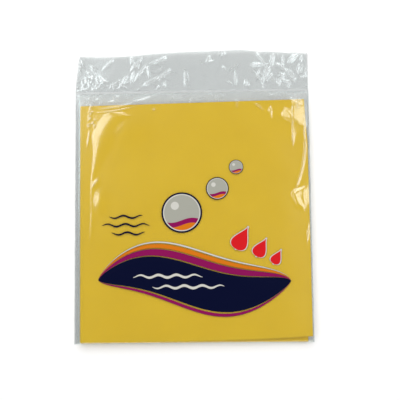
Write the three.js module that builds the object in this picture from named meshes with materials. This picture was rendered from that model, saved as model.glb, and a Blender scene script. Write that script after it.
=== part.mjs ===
/*
 * Synthetic chamois cloth, folded in four, in a clear film bag with a header and a hang tab.
 *
 * Millimetres, +Z up. The pack lies on its back: X runs across it, Y from its foot to its header, and Z through it.
 * The origin is under the middle of the pack, on the surface that it lies on.
 */
import * as THREE from 'three';

// The cloth
const clothWidth = 380;          // open, across the book fold
const clothLength = 400;         // open, across the first fold
const leafThickness = 1.1;
const leafGap = 0.3;             // air between the two leaves of one half
const spineGap = 0.3;            // air between the two halves
const foldOffset = 1.6;          // the book fold lies this far off the middle, so the front half is wider
const frontSkew = 0.7;           // degrees that the front half's foot rises from square with the spine
const backSkew = 0.35;           // degrees that the back half's foot drops from square with it
const clothTurn = 0.25;          // degrees that the folded cloth has turned in the bag

// The film
const filmThickness = 0.15;
const plyGap = 0.1;              // air between two plies that lie on each other
const seatGap = 0.3;             // clearance between pieces that lie against each other
const leftSlack = 3.3;           // from the spine of the cloth to the left weld
const rightSlack = 1.1;          // from the furthest corner of the cloth to the right weld
const spineEase = 1.4;           // the film is level again this far past the middle of the spine
const headroom = 8.2;            // from the highest corner of the cloth to the closing weld

// The welds
const sideWeldWidth = 1;
const closingWeldWidth = 2.4;
const weldRibs = 4;              // ridges that the sealing jaws press along the closing weld
const weldRibDepth = 0.06;

// The header
const tabFoot = 1.1;             // film between the header's foot and the hang tab's
const tabWidth = 30;
const tabHeight = 18.5;
const tabTop = 11.8;             // film above the hang tab
const tabCorner = 5;             // radius of its upper corners
const tabShift = 10.5;           // it lies this far to the right of the middle
const cutWidth = 0.2;            // the die cut round it, still closed
const lipOffset = 1.5;           // the front ply is cut this much shorter than the back ply
const headerDrawIn = 2.4;        // the header's top corners are drawn in this far
const headerCrown = 3.6;         // and its top edge rises this far in the middle
const foldLimit = 135;           // degrees that the header folds over, to either side

// How finely curves are cut
const turnSteps = 8;
const levelSteps = 6;
const rampSteps = 9;

// How square the film's slopes are: at 2 a slope is a quarter of an ellipse, and at more it is squarer
const spineSquareness = 2.4;
const edgeSquareness = 6;
const headSquareness = 1.5;

// Sizes that follow from the ones above
const degree = Math.PI / 180;
const frontSlope = Math.tan(frontSkew * degree);
const backSlope = -Math.tan(backSkew * degree);
const turn = clothTurn * degree;
const halfLength = clothLength / 2;
const halfPack = spineGap / 2 + 2 * leafThickness + leafGap;
const clothBottom = filmThickness + seatGap;
const clothMiddle = clothBottom + halfPack;
const filmTop = clothMiddle + halfPack + seatGap + filmThickness;
const plies = 2 * filmThickness + plyGap;

const spineTurnWidth = Math.PI * halfPack / 2;
const frontReach = (clothWidth - spineTurnWidth) / 2 + foldOffset;
const backReach = (clothWidth - spineTurnWidth) / 2 - foldOffset;
const lean = halfLength * Math.sin(turn);

const clothFoot = filmThickness + seatGap + backReach * Math.max(-backSlope - Math.tan(turn), 0);
const clothHead = clothFoot + halfLength + frontReach * (frontSlope + Math.tan(turn));
const pocketWidth = leftSlack + halfPack + frontReach + lean + rightSlack;
const bagWidth = pocketWidth + 2 * sideWeldWidth;
const spineX = -pocketWidth / 2 + leftSlack + halfPack;

const footRadius = leafThickness + leafGap / 2 + seatGap + filmThickness;
const footLip = footRadius + seatGap;
const weldFoot = clothHead + headroom;
const weldHead = weldFoot + closingWeldWidth;
const hingeReach = plies / 2 * Math.tan(foldLimit / 2 * degree);
const headerFoot = weldHead + 2 * hingeReach;
const headerHeight = tabFoot + tabHeight + tabTop;
const bagLength = headerFoot + headerHeight;

const chamois = new THREE.MeshStandardMaterial({ color: 0xd4ac2f, roughness: 0.95, metalness: 0 });
const clearFilm = new THREE.MeshStandardMaterial({
  color: 0xdfe3e2, roughness: 0.12, metalness: 0, transparent: true, opacity: 0.3,
});
const weldedFilm = new THREE.MeshStandardMaterial({
  color: 0xe4e8e6, roughness: 0.35, metalness: 0, transparent: true, opacity: 0.5,
});

/** Even steps from 0 to 1, both ends included. */
function shares(steps) {
  return Array.from({ length: steps + 1 }, (_, i) => i / steps);
}

/** A geometry of these triangles, turned to face out if the solid that they close came out inside out. */
function facingOut(points, index) {
  const cross = new THREE.Vector3();
  let volume = 0;
  for (let k = 0; k < index.length; k += 3) {
    const [a, b, c] = [points[index[k]], points[index[k + 1]], points[index[k + 2]]];
    volume += a.dot(cross.crossVectors(b, c));
  }
  const geometry = new THREE.BufferGeometry().setFromPoints(points);
  geometry.setIndex(volume < 0 ? index.reverse() : index);
  geometry.computeVertexNormals();
  return geometry;
}

/** Closes a sheet into a solid. faces(i, j) gives the points of its two faces at a grid point, and rims join them. */
function solidSheet(rows, columns, faces) {
  const points = [];
  for (const face of [0, 1]) {
    for (let i = 0; i < rows; i++) {
      for (let j = 0; j < columns; j++) points.push(faces(i, j)[face]);
    }
  }
  const at = (face, i, j) => (face * rows + i) * columns + j;
  const index = [];
  const quad = (a, b, c, d) => index.push(a, b, c, a, c, d);
  for (let i = 0; i + 1 < rows; i++) {
    for (let j = 0; j + 1 < columns; j++) {
      quad(at(0, i, j), at(0, i + 1, j), at(0, i + 1, j + 1), at(0, i, j + 1));
      quad(at(1, i, j), at(1, i, j + 1), at(1, i + 1, j + 1), at(1, i + 1, j));
    }
  }
  const [lastRow, lastColumn] = [rows - 1, columns - 1];
  for (let i = 0; i < lastRow; i++) {
    quad(at(0, i, 0), at(1, i, 0), at(1, i + 1, 0), at(0, i + 1, 0));
    quad(at(0, i + 1, lastColumn), at(1, i + 1, lastColumn), at(1, i, lastColumn), at(0, i, lastColumn));
  }
  for (let j = 0; j < lastColumn; j++) {
    quad(at(0, 0, j + 1), at(1, 0, j + 1), at(1, 0, j), at(0, 0, j));
    quad(at(0, lastRow, j), at(1, lastRow, j), at(1, lastRow, j + 1), at(0, lastRow, j + 1));
  }
  return facingOut(points, index);
}

/** A wall of the film's thickness, half of it on each side of a middle surface given as rows of points. */
function filmWall(grid) {
  const [lastRow, lastColumn] = [grid.length - 1, grid[0].length - 1];
  const normalAt = (i, j) => {
    const along = grid[Math.min(i + 1, lastRow)][j].clone().sub(grid[Math.max(i - 1, 0)][j]);
    const across = grid[i][Math.min(j + 1, lastColumn)].clone().sub(grid[i][Math.max(j - 1, 0)]);
    return along.cross(across).normalize();
  };
  return solidSheet(grid.length, grid[0].length, (i, j) => {
    const half = normalAt(i, j).multiplyScalar(filmThickness / 2);
    return [grid[i][j].clone().sub(half), grid[i][j].clone().add(half)];
  });
}

/** The height share of a slope that starts steeply at share 0 and runs out level at share 1. */
function slope(share, squareness) {
  return (1 - (1 - share) ** squareness) ** (1 / squareness);
}

/**
 * The first fold, as a profile through one half of the cloth: down the inner leaf, round the foot, up the outer leaf.
 * Each entry gives the height y and the depth below or above the plane between the two halves, for a point that lies
 * out of the leaf's middle by this much.
 */
function firstFoldProfile() {
  const radius = (leafThickness + leafGap) / 2;
  const turnY = radius + leafThickness / 2;
  const inner = spineGap / 2 + leafThickness / 2;
  const outer = inner + 2 * radius;
  const heights = shares(levelSteps).slice(1).map((s) => turnY + s * (halfLength - turnY));
  const down = heights.toReversed().map((y) => (out) => ({ y, depth: inner - out }));
  const round = shares(turnSteps).map((s) => (out) => ({
    y: turnY - (radius + out) * Math.sin(s * Math.PI),
    depth: inner + radius - (radius + out) * Math.cos(s * Math.PI),
  }));
  const up = heights.map((y) => (out) => ({ y, depth: outer + out }));
  return [...down, ...round, ...up];
}

/**
 * The stations across the cloth, from the back half's cut edge round the spine to the front half's. Each gives how
 * far it lies from the spine, its angle round the spine, which is 0 on the back half and half a turn on the front half,
 * and how far its half rises for each millimetre away from the spine. The cut edges are parallel to the spine.
 */
function bookFoldStations() {
  const steps = shares(levelSteps).slice(1);
  const back = steps.toReversed().map((s) => ({ angle: 0, away: s * backReach, rise: backSlope }));
  const round = shares(turnSteps).map((s) => ({ angle: s * Math.PI, away: 0, rise: 0 }));
  const front = steps.map((s) => ({ angle: Math.PI, away: s * frontReach, rise: frontSlope }));
  return [...back, ...round, ...front];
}

/** The point of the folded cloth at a station, for a profile point, where it lies in the bag. */
function clothPoint({ angle, away, rise }, { y, depth }) {
  const across = away - depth * Math.sin(angle);
  const height = y + away * rise;
  return new THREE.Vector3(
    spineX + lean + across * Math.cos(turn) - height * Math.sin(turn),
    clothFoot + across * Math.sin(turn) + height * Math.cos(turn),
    clothMiddle - depth * Math.cos(angle),
  );
}

/** The chamois cloth: one sheet folded in half at its foot, then like a book at the left. */
function foldedCloth() {
  const stations = bookFoldStations();
  const profile = firstFoldProfile();
  return solidSheet(stations.length, profile.length, (i, j) => [
    clothPoint(stations[i], profile[j](-leafThickness / 2)),
    clothPoint(stations[i], profile[j](leafThickness / 2)),
  ]);
}

/** The stations across the pocket's film: x, and its share of the full height there. */
function filmStations() {
  const left = -pocketWidth / 2 + seatGap;
  const right = pocketWidth / 2 - seatGap;
  const leftLevel = spineX + spineEase;
  const rightLevel = pocketWidth / 2 - rightSlack;
  const up = shares(rampSteps).map((s) => ({ x: left + s * (leftLevel - left), share: slope(s, spineSquareness) }));
  const level = shares(levelSteps).slice(1, -1).map((s) => ({ x: leftLevel + s * (rightLevel - leftLevel), share: 1 }));
  const down = shares(rampSteps).map((s) => ({ x: right - s * (right - rightLevel), share: slope(s, edgeSquareness) }));
  return [...up, ...level, ...down.toReversed()];
}

/** The height of the middle of the front film where it has this share of its rise over the back film. */
function filmHeight(share) {
  const low = filmThickness + plyGap + filmThickness / 2;
  const high = filmTop - filmThickness / 2;
  return low + share * (high - low);
}

/** The front wall of the pocket: level over the cloth, and down to the side welds and the closing weld. */
function pocketFront() {
  const foot = footLip + seatGap;
  const levelEnd = clothHead + seatGap;
  const head = weldFoot - seatGap;
  const level = shares(levelSteps).map((s) => ({ y: foot + s * (levelEnd - foot), part: 1 }));
  const down = shares(rampSteps).slice(1).map((s) => ({
    y: levelEnd + s * (head - levelEnd), part: slope(1 - s, headSquareness),
  }));
  return filmWall(filmStations().map(({ x, share }) => (
    [...level, ...down].map(({ y, part }) => new THREE.Vector3(x, y, filmHeight(share * part)))
  )));
}

/** The turn of the film round the foot of the cloth, at each station as high as the front film is there. */
function bottomFold() {
  const low = filmThickness / 2;
  const roundShare = 0.45;       // of the height, where that is too little for two full corners
  return filmWall(filmStations().map(({ x, share }) => {
    const high = filmHeight(share);
    const radius = Math.min(footRadius - low, (high - low) * roundShare);
    const corner = shares(turnSteps).map((s) => ({
      y: low + radius * (1 - Math.sin(s * Math.PI / 2)),
      rise: radius * (1 - Math.cos(s * Math.PI / 2)),
    }));
    const under = [{ y: footLip, rise: 0 }, ...corner];
    return [
      ...under.map(({ y, rise }) => new THREE.Vector3(x, y, low + rise)),
      ...under.toReversed().map(({ y, rise }) => new THREE.Vector3(x, y, high - rise)),
    ];
  }));
}

/** A flat piece of film: an outline in X and Y, as thick as asked, with its underside at this height. */
function flatFilm(outline, thickness, bottom) {
  const geometry = new THREE.ExtrudeGeometry(outline, {
    depth: thickness, bevelEnabled: false, curveSegments: turnSteps,
  });
  return geometry.translate(0, 0, bottom);
}

/** The outline of a rectangle between two corners. */
function rectangle(left, foot, right, head) {
  return new THREE.Shape([
    new THREE.Vector2(left, foot), new THREE.Vector2(right, foot),
    new THREE.Vector2(right, head), new THREE.Vector2(left, head),
  ]);
}

/** The back wall of the pocket, flat on the table. */
function pocketBack() {
  const edge = pocketWidth / 2 - seatGap;
  return flatFilm(rectangle(-edge, footLip + seatGap, edge, weldFoot - seatGap), filmThickness, 0);
}

/** The weld down one side of the pocket; side is -1 for the left and 1 for the right. */
function sideWeld(side) {
  const [inner, outer] = [pocketWidth / 2, bagWidth / 2];
  const [left, right] = side < 0 ? [-outer, -inner] : [inner, outer];
  return flatFilm(rectangle(left, 0, right, weldFoot - seatGap), plies, 0);
}

/** The band that shuts the pocket: both plies fused, with the ribs of the sealing jaws along its upper face. */
function closingWeld() {
  const section = new THREE.Shape();
  section.moveTo(weldFoot, 0);
  section.lineTo(weldHead, 0);
  for (const s of shares(weldRibs * turnSteps).toReversed()) {
    const groove = weldRibDepth * Math.sin(s * weldRibs * Math.PI) ** 2;
    section.lineTo(weldFoot + s * closingWeldWidth, plies - groove);
  }
  const geometry = new THREE.ExtrudeGeometry(section, { depth: bagWidth, bevelEnabled: false });
  const acrossToX = new THREE.Matrix4().makeBasis(
    new THREE.Vector3(0, 1, 0), new THREE.Vector3(0, 0, 1), new THREE.Vector3(1, 0, 0),
  );
  return geometry.applyMatrix4(acrossToX).translate(-bagWidth / 2, 0, 0);
}

/** Half the width of the header at this share of its height, where its corners are drawn in. */
function headerHalfWidth(share) {
  return bagWidth / 2 - headerDrawIn * share;
}

/**
 * The die cut of the hang tab: a slit up its right side, over its top and down its left side, and back along its inner
 * edge. The tab's foot stays uncut. A straight line joins each arc to what comes before it.
 */
function tabCut() {
  const foot = headerFoot + tabFoot;
  const cornerY = foot + tabHeight - tabCorner;
  const [left, right] = [tabShift - tabWidth / 2, tabShift + tabWidth / 2];
  const inner = tabCorner - cutWidth;
  const cut = new THREE.Path();
  cut.moveTo(right, foot);
  cut.absarc(right - tabCorner, cornerY, tabCorner, 0, Math.PI / 2, false);
  cut.absarc(left + tabCorner, cornerY, tabCorner, Math.PI / 2, Math.PI, false);
  cut.lineTo(left, foot);
  cut.lineTo(left + cutWidth, foot);
  cut.absarc(left + tabCorner, cornerY, inner, Math.PI, Math.PI / 2, true);
  cut.absarc(right - tabCorner, cornerY, inner, Math.PI / 2, 0, true);
  cut.lineTo(right - cutWidth, foot);
  return cut;
}

/** One ply of the header, cut short by this much at the top, with the hang tab cut into it. */
function headerPly(cutShort, bottom) {
  const head = headerFoot + headerHeight - headerCrown - cutShort;
  const footHalf = headerHalfWidth(0) - sideWeldWidth - seatGap;
  const headHalf = headerHalfWidth(1) - sideWeldWidth - seatGap;
  const outline = new THREE.Shape();
  outline.moveTo(-footHalf, headerFoot);
  outline.lineTo(footHalf, headerFoot);
  outline.lineTo(headHalf, head);
  outline.quadraticCurveTo(0, head + 2 * headerCrown, -headHalf, head);
  outline.holes.push(tabCut());
  return flatFilm(outline, filmThickness, bottom);
}

/** The weld down one side of the header, drawn in with it. */
function headerWeld(side) {
  const head = headerFoot + headerHeight - headerCrown;
  const corner = (share, inset, y) => new THREE.Vector2(side * (headerHalfWidth(share) - inset), y);
  return flatFilm(new THREE.Shape([
    corner(0, 0, headerFoot), corner(1, 0, head), corner(1, sideWeldWidth, head), corner(0, sideWeldWidth, headerFoot),
  ]), plies, 0);
}

/** A named piece of the pack. */
function piece(name, geometry, material) {
  const mesh = new THREE.Mesh(geometry, material);
  mesh.name = name;
  return mesh;
}

const pocket = new THREE.Group();
pocket.add(
  piece('chamois_cloth', foldedCloth(), chamois),
  piece('pocket_front_film', pocketFront(), clearFilm),
  piece('pocket_back_film', pocketBack(), clearFilm),
  piece('bottom_fold', bottomFold(), clearFilm),
  piece('side_weld_left', sideWeld(-1), weldedFilm),
  piece('side_weld_right', sideWeld(1), weldedFilm),
  piece('closing_weld', closingWeld(), weldedFilm),
);

const header = new THREE.Group();
header.add(
  piece('header_back_ply', headerPly(0, 0), clearFilm),
  piece('header_front_ply', headerPly(lipOffset, filmThickness + plyGap), clearFilm),
  piece('header_weld_left', headerWeld(-1), weldedFilm),
  piece('header_weld_right', headerWeld(1), weldedFilm),
);

const pack = new THREE.Group();
pack.add(pocket, header);
pack.position.y = -bagLength / 2;

export default pack;
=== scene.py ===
"""A synthetic chamois cloth, folded in four, in a clear film bag with a header and a hang tab.

Lengths are in metres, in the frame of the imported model: the pack lies on its back, with X across it, Y from its foot
to its header and Z through it. Tables of creases and of printed shapes are in millimetres, as their classes say.
"""
import logging
import math
from collections.abc import Callable, Iterable, Sequence
from dataclasses import dataclass
from enum import Enum

import bpy
import numpy as np
from numpy.typing import NDArray
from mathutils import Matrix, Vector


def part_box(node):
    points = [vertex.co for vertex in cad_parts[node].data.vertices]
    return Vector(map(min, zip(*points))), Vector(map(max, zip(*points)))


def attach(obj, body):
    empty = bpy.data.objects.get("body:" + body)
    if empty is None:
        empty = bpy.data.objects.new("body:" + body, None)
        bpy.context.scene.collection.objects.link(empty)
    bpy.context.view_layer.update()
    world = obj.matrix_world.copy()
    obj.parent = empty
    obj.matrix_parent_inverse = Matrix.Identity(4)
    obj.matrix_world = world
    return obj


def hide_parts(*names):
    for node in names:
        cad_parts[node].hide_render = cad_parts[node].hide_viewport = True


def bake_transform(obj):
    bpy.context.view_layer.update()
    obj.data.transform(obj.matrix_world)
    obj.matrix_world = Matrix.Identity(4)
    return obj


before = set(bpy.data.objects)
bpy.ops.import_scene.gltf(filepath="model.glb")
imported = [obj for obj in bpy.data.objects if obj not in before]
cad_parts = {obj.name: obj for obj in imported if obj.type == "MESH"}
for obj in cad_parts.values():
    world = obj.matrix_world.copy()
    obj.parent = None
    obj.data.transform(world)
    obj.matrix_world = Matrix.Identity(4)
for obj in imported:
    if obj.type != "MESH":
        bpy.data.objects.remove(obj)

Array = NDArray[np.float64]
Index = NDArray[np.int64]
Colour = tuple[float, float, float]

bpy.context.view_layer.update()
MM = 0.001
TINY = 1e-9
SAME = 0.001 * MM  # points of a flat patch that are closer than this are one
SHARP_ANGLE = 55.0  # edges that turn by more than this many degrees stay sharp
RIDGE_WIDTH = 0.7  # how far from its ridge, in millimetres, a crease is whitened: the film's stress whitening and a painted highlight
LOG = logging.getLogger("chamois_pack")


class Body(Enum):
    """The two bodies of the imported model."""

    POCKET = "pocket"
    HEADER = "header"


class Slot(Enum):
    """The finishes that the record names."""

    CHAMOIS = "chamois"
    CLEAR_FILM = "clear_film"
    WELDED_FILM = "welded_film"


class Side(Enum):
    """A side of the pack, with its sign along X."""

    LEFT = -1
    RIGHT = 1


def arithmetic(operation: str, reflected: bool = False) -> Callable[["Value", "Value | float"], "Value"]:
    """Makes a method of Value for an operator.

    Args:
        operation: the Math node's operation, as Blender names it.
        reflected: whether the value stands on the operator's right.

    Returns:
        The method, which adds the node and returns its result.
    """
    def method(self: "Value", other: "Value | float") -> "Value":
        """The operation on self and other, in the order in which they stand."""
        return self.math(operation, other, self) if reflected else self.math(operation, self, other)

    return method


class Value:
    """One output socket in an expression. Arithmetic on it adds Math nodes to its material."""

    def __init__(self, shader: "Shader", socket: bpy.types.NodeSocket) -> None:
        """Wraps a socket of a material's node tree."""
        self.shader = shader
        self.socket = socket

    def math(self, operation: str, *operands: "Value | float") -> "Value":
        """Adds one Math node, with its operands in order, and returns its result."""
        return self.shader.node("ShaderNodeMath", {"operation": operation}, dict(enumerate(operands)))

    __add__, __radd__ = arithmetic("ADD"), arithmetic("ADD", reflected=True)
    __sub__, __rsub__ = arithmetic("SUBTRACT"), arithmetic("SUBTRACT", reflected=True)
    __mul__, __rmul__ = arithmetic("MULTIPLY"), arithmetic("MULTIPLY", reflected=True)
    __truediv__, __rtruediv__ = arithmetic("DIVIDE"), arithmetic("DIVIDE", reflected=True)
    __pow__, __rpow__ = arithmetic("POWER"), arithmetic("POWER", reflected=True)
    least, most = arithmetic("MINIMUM"), arithmetic("MAXIMUM")

    def __abs__(self) -> "Value":
        """The size of self without its sign."""
        return self.math("ABSOLUTE", self)

    def sine(self) -> "Value":
        """The sine of self, in radians."""
        return self.math("SINE", self)

    def root(self) -> "Value":
        """The square root of self, or of 0 where self is negative."""
        return self.math("SQRT", self.most(0.0))

    def share(self) -> "Value":
        """self held between 0 and 1."""
        return self.least(1.0).most(0.0)


class Shader:
    """A material or a world, and its node tree."""

    def __init__(self, owner: bpy.types.Material | bpy.types.World) -> None:
        """Empties the owner's node tree.

        Args:
            owner: the material or the world.
        """
        owner.use_nodes = True
        self.owner = owner
        self.tree = owner.node_tree
        self.tree.nodes.clear()

    def node(self, kind: str, settings: dict | None = None, inputs: dict | None = None,
             output: int | str = 0) -> "Value | None":
        """Adds one node.

        Args:
            kind: the node's type.
            settings: its own settings, set before its sockets. "stops" gives a ramp's positions and colours.
            inputs: values or links, by the name or number of the socket.
            output: which output to return.

        Returns:
            That output, ready for an expression, or None where the node has no outputs.
        """
        made = self.tree.nodes.new(kind)
        for name, setting in (settings or {}).items():
            if name == "stops":
                elements = made.color_ramp.elements
                while len(elements) < len(setting):
                    elements.new(1.0)
                for element, (position, colour) in zip(elements, setting):
                    element.position = position
                    element.color = (*colour, 1.0)
            else:
                setattr(made, name, setting)
        for name, given in (inputs or {}).items():
            socket = made.inputs[name]
            if isinstance(given, Value):
                self.tree.links.new(given.socket, socket)
            elif isinstance(given, tuple) and len(given) == 3 and socket.type == "RGBA":
                socket.default_value = (*given, 1.0)
            else:
                socket.default_value = given
        return Value(self, made.outputs[output]) if made.outputs else None

    def mix_colour(self, share: Value | float, a: Value | Colour, b: Value | Colour) -> Value:
        """Colour a where share is 0, b where it is 1."""
        return self.node("ShaderNodeMix", {"data_type": "RGBA"}, {0: share, 6: a, 7: b}, 2)

    def mix_shader(self, share: Value | float, a: Value, b: Value) -> Value:
        """Surface a where share is 0, b where it is 1."""
        return self.node("ShaderNodeMixShader", inputs={0: share, 1: a, 2: b})

    def place(self) -> tuple[Value, Value, Value]:
        """The point's X, Y and Z in the row frame, in millimetres.

        Returns:
            X, Y and Z.
        """
        here = self.node("ShaderNodeTexCoord", output="Object")
        scaled = self.node("ShaderNodeVectorMath", {"operation": "SCALE"}, {0: here, "Scale": 1 / MM})
        split = self.node("ShaderNodeSeparateXYZ", inputs={0: scaled}).socket.node
        return tuple(Value(self, split.outputs[axis]) for axis in "XYZ")

    def noise(self, where: Value, scale: float, detail: float, roughness: float = 0.5) -> Value:
        """Noise from 0 to 1 at a place, with this many cells to a metre."""
        inputs = {"Vector": where, "Scale": scale, "Detail": detail, "Roughness": roughness}
        return self.node("ShaderNodeTexNoise", inputs=inputs, output="Fac")

    def finish(self, surface: Value) -> bpy.types.Material | bpy.types.World:
        """Links a surface to the owner's output.

        Args:
            surface: the surface.

        Returns:
            The owner.
        """
        kind = "ShaderNodeOutputWorld" if isinstance(self.owner, bpy.types.World) else "ShaderNodeOutputMaterial"
        self.node(kind, inputs={"Surface": surface})
        return self.owner


@dataclass(frozen=True)
class Patch:
    """A surface as points and four-sided faces, with its open edges as closed loops that run anticlockwise."""

    points: Array  # one row of X, Y and Z for each point
    quads: Index  # the four points of each face, anticlockwise from outside
    rims: list[Index]  # the points along each open edge, with the surface on their left

    @staticmethod
    def grid(x: Array, y: Array, z: Array | float) -> "Patch":
        """A patch on a grid.

        Args:
            x: X of each point, in rows and columns, with the outside where rows cross columns right-handed.
            y: Y of each point.
            z: Z of each point.

        Returns:
            The patch, with the grid's border as its one rim.
        """
        points = np.stack(np.broadcast_arrays(x, y, z), axis=-1)
        rows, columns = points.shape[:2]
        at = np.arange(rows * columns).reshape(rows, columns)
        quads = np.stack([at[:-1, :-1], at[1:, :-1], at[1:, 1:], at[:-1, 1:]], axis=-1).reshape(-1, 4)
        rim = np.concatenate([at[:-1, 0], at[-1, :-1], at[:0:-1, -1], at[0, :0:-1]])
        return Patch(points.reshape(-1, 3), quads, [rim])

    def normals(self) -> Array:
        """The normal at each point: the sum of the cross products of the diagonals of the faces round it.

        Returns:
            X, Y and Z of each, of length 1.
        """
        corner = self.points[self.quads]
        across = np.cross(corner[:, 2] - corner[:, 0], corner[:, 3] - corner[:, 1])
        total = np.zeros_like(self.points)
        for k in range(4):
            np.add.at(total, self.quads[:, k], across)
        return total / np.linalg.norm(total, axis=1, keepdims=True)

    def closed(self, other: Array) -> "Patch":
        """The closed solid between the patch and the same points at other places.

        Args:
            other: those places.

        Returns:
            The solid, whose first points are the patch's. Its faces are turned round if the volume that they enclose
            comes out negative, so they look outwards.
        """
        count = len(self.points)
        faces = [self.quads, self.quads[:, ::-1] + count]
        for rim in self.rims:
            after = np.roll(rim, -1)
            faces.append(np.stack([rim, rim + count, after + count, after], axis=-1))
        points, quads = np.concatenate([self.points, other]), np.concatenate(faces)
        a, b, c, d = (points[quads[:, k]] for k in range(4))
        volume = np.einsum("ij,ij->", a, np.cross(b, c)) + np.einsum("ij,ij->", a, np.cross(c, d))
        return Patch(points, quads if volume > 0 else quads[:, ::-1], [])

    def wall(self, thickness: float) -> "Patch":
        """The patch as a closed wall: one face half the thickness out along the normals, one half in."""
        half = self.normals() * thickness / 2
        return Patch(self.points + half, self.quads, self.rims).closed(self.points - half)


@dataclass(frozen=True)
class Piece:
    """A finished piece: its name, its finish and the CAD node that it stands for."""

    name: str  # the piece's name
    slot: Slot  # the record's finish
    replaces: str  # the CAD node that it stands for

    def build(self, patch: Patch, material: bpy.types.Material, ridge: Array | None = None,
              uv: Array | None = None) -> bpy.types.Object:
        """Args:
            patch: the closed surface.
            material: its finish.
            ridge: how near a crease's ridge each point is, from 0 to 1.
            uv: U and V at each point, for patterns that follow the surface.

        Returns:
            The object, which rides on no body yet.
        """
        mesh = bpy.data.meshes.new(self.name)
        mesh.vertices.add(len(patch.points))
        mesh.vertices.foreach_set("co", patch.points.astype(np.float32).ravel())
        loops = patch.quads.ravel()
        mesh.loops.add(len(loops))
        mesh.loops.foreach_set("vertex_index", loops.astype(np.int32))
        mesh.polygons.add(len(patch.quads))
        mesh.polygons.foreach_set("loop_start", np.arange(0, len(loops), 4, dtype=np.int32))
        mesh.polygons.foreach_set("use_smooth", np.ones(len(patch.quads), dtype=bool))
        mesh.update(calc_edges=True)
        mesh.validate()
        mesh.set_sharp_from_angle(angle=math.radians(SHARP_ANGLE))
        if ridge is not None:
            layer = mesh.attributes.new("ridge", "FLOAT", "POINT")
            layer.data.foreach_set("value", ridge.astype(np.float32))
        if uv is not None:
            layer = mesh.uv_layers.new(name="flat")
            layer.data.foreach_set("uv", uv[loops].astype(np.float32).ravel())
        made = bpy.data.objects.new(self.name, mesh)
        bpy.context.scene.collection.objects.link(made)
        mesh.materials.append(material)
        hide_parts(self.replaces)
        low, high = patch.points.min(axis=0) / MM, patch.points.max(axis=0) / MM
        LOG.info("%s: %d faces, from %s to %s mm", self.name, len(patch.quads), low.round(2), high.round(2))
        return made


def slope(share: Array, squareness: float) -> Array:
    """A rise from 0 to 1 that starts steeply and runs out level: (1 - (1 - share)^squareness)^(1 / squareness)."""
    return (1 - (1 - np.clip(share, 0, 1)) ** squareness) ** (1 / squareness)


def ripple(at: Array, length: float, start: float | Array = 0.0) -> Array:
    """A sine wave along a coordinate, with a cycle of 2 pi lengths: sin(at / length + start)."""
    return np.sin(at / length + start)


def softer_minimum(a: Array | float, b: Array | float, reach: Array | float) -> Array:
    """The lesser of two values, with a round bend where they cross: (a + b - sqrt((a - b)^2 + reach^2)) / 2."""
    return (a + b - np.sqrt((a - b) ** 2 + reach ** 2)) / 2


def smooth_step(share: Array) -> Array:
    """A rise from 0 to 1 that is level at both ends: share^2 * (3 - 2 * share)."""
    held = np.clip(share, 0, 1)
    return held * held * (3 - 2 * held)


def spaced(marks: Sequence[float], steps: Sequence[float]) -> Array:
    """Even steps between marks.

    Args:
        marks: the ends of the stretches, rising.
        steps: about how long a step is in each stretch.

    Returns:
        All the places, with each mark once.
    """
    stretches = [
        np.linspace(a, b, max(2, round((b - a) / step) + 1))[:-1] for a, b, step in zip(marks, marks[1:], steps)
    ]
    return np.concatenate([*stretches, [marks[-1]]])


@dataclass(frozen=True)
class Crease:
    """A fold that stands up in film like a tent, with a ridge that tapers at both ends. All lengths in millimetres."""

    start: tuple[float, float]  # where the ridge starts
    end: tuple[float, float]  # where it ends
    height: float  # how high it stands where it is highest
    left: float  # how far its flank reaches on the left of the ridge, looking from start to end
    right: float  # the same on the right
    bow: float = 0.0  # how far the ridge bends to the left in its middle
    rise: float = 0.3  # the share of its length over which it grows from nothing
    fall: float = 0.3  # the share of its length over which it dies away

    def relief(self, x: Array, y: Array) -> tuple[Array, Array]:
        """The fold's height and ridge at points.

        The share t runs along the chord and the offset d across it, less bow * 4t(1 - t). The size s grows as t / rise
        and shrinks as (1 - t) / fall. The height is height * s * (1 - |d| / (flank * s)) where that is positive.

        Args:
            x: where the points are across the pack, in millimetres.
            y: where they are along it.

        Returns:
            The height in millimetres, and how near the ridge is, from 0 to 1.
        """
        along = np.array(self.end) - np.array(self.start)
        length = float(np.hypot(*along))
        unit = along / length
        dx, dy = x - self.start[0], y - self.start[1]
        t = (dx * unit[0] + dy * unit[1]) / length
        d = dy * unit[0] - dx * unit[1] - self.bow * 4 * t * (1 - t)
        size = np.clip(np.minimum(t / self.rise, (1 - t) / self.fall), 0, 1)
        flank = np.where(d > 0, self.left, self.right) * size + TINY
        tent = np.clip(1 - np.abs(d) / flank, 0, 1)
        return self.height * size * tent, size * np.clip(1 - np.abs(d) / RIDGE_WIDTH, 0, 1)


@dataclass(frozen=True)
class Facets:
    """Film that stands off in flat facets between folds. All lengths in millimetres."""

    corners: tuple[tuple[float, float, float], ...]  # X, Y and height of each corner
    faces: tuple[tuple[int, int, int], ...]  # the corners of each facet

    def relief(self, x: Array, y: Array) -> tuple[Array, Array]:
        """The facets' height at points: in each facet, its corners' heights by their barycentric shares.

        Args:
            x: where the points are across the pack, in millimetres.
            y: where they are along it.

        Returns:
            The height in millimetres, and 0 for how near a ridge is, because these folds are soft.
        """
        height = np.zeros_like(x)
        for face in self.faces:
            a, b, c = (self.corners[k] for k in face)
            area = (b[0] - a[0]) * (c[1] - a[1]) - (c[0] - a[0]) * (b[1] - a[1])
            at_b = ((x - a[0]) * (c[1] - a[1]) - (c[0] - a[0]) * (y - a[1])) / area
            at_c = ((b[0] - a[0]) * (y - a[1]) - (x - a[0]) * (b[1] - a[1])) / area
            inside = (at_b >= 0) & (at_c >= 0) & (at_b + at_c <= 1)
            plane = a[2] + at_b * (b[2] - a[2]) + at_c * (c[2] - a[2])
            height = np.where(inside, np.maximum(height, plane), height)
        return height, np.zeros_like(x)


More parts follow.
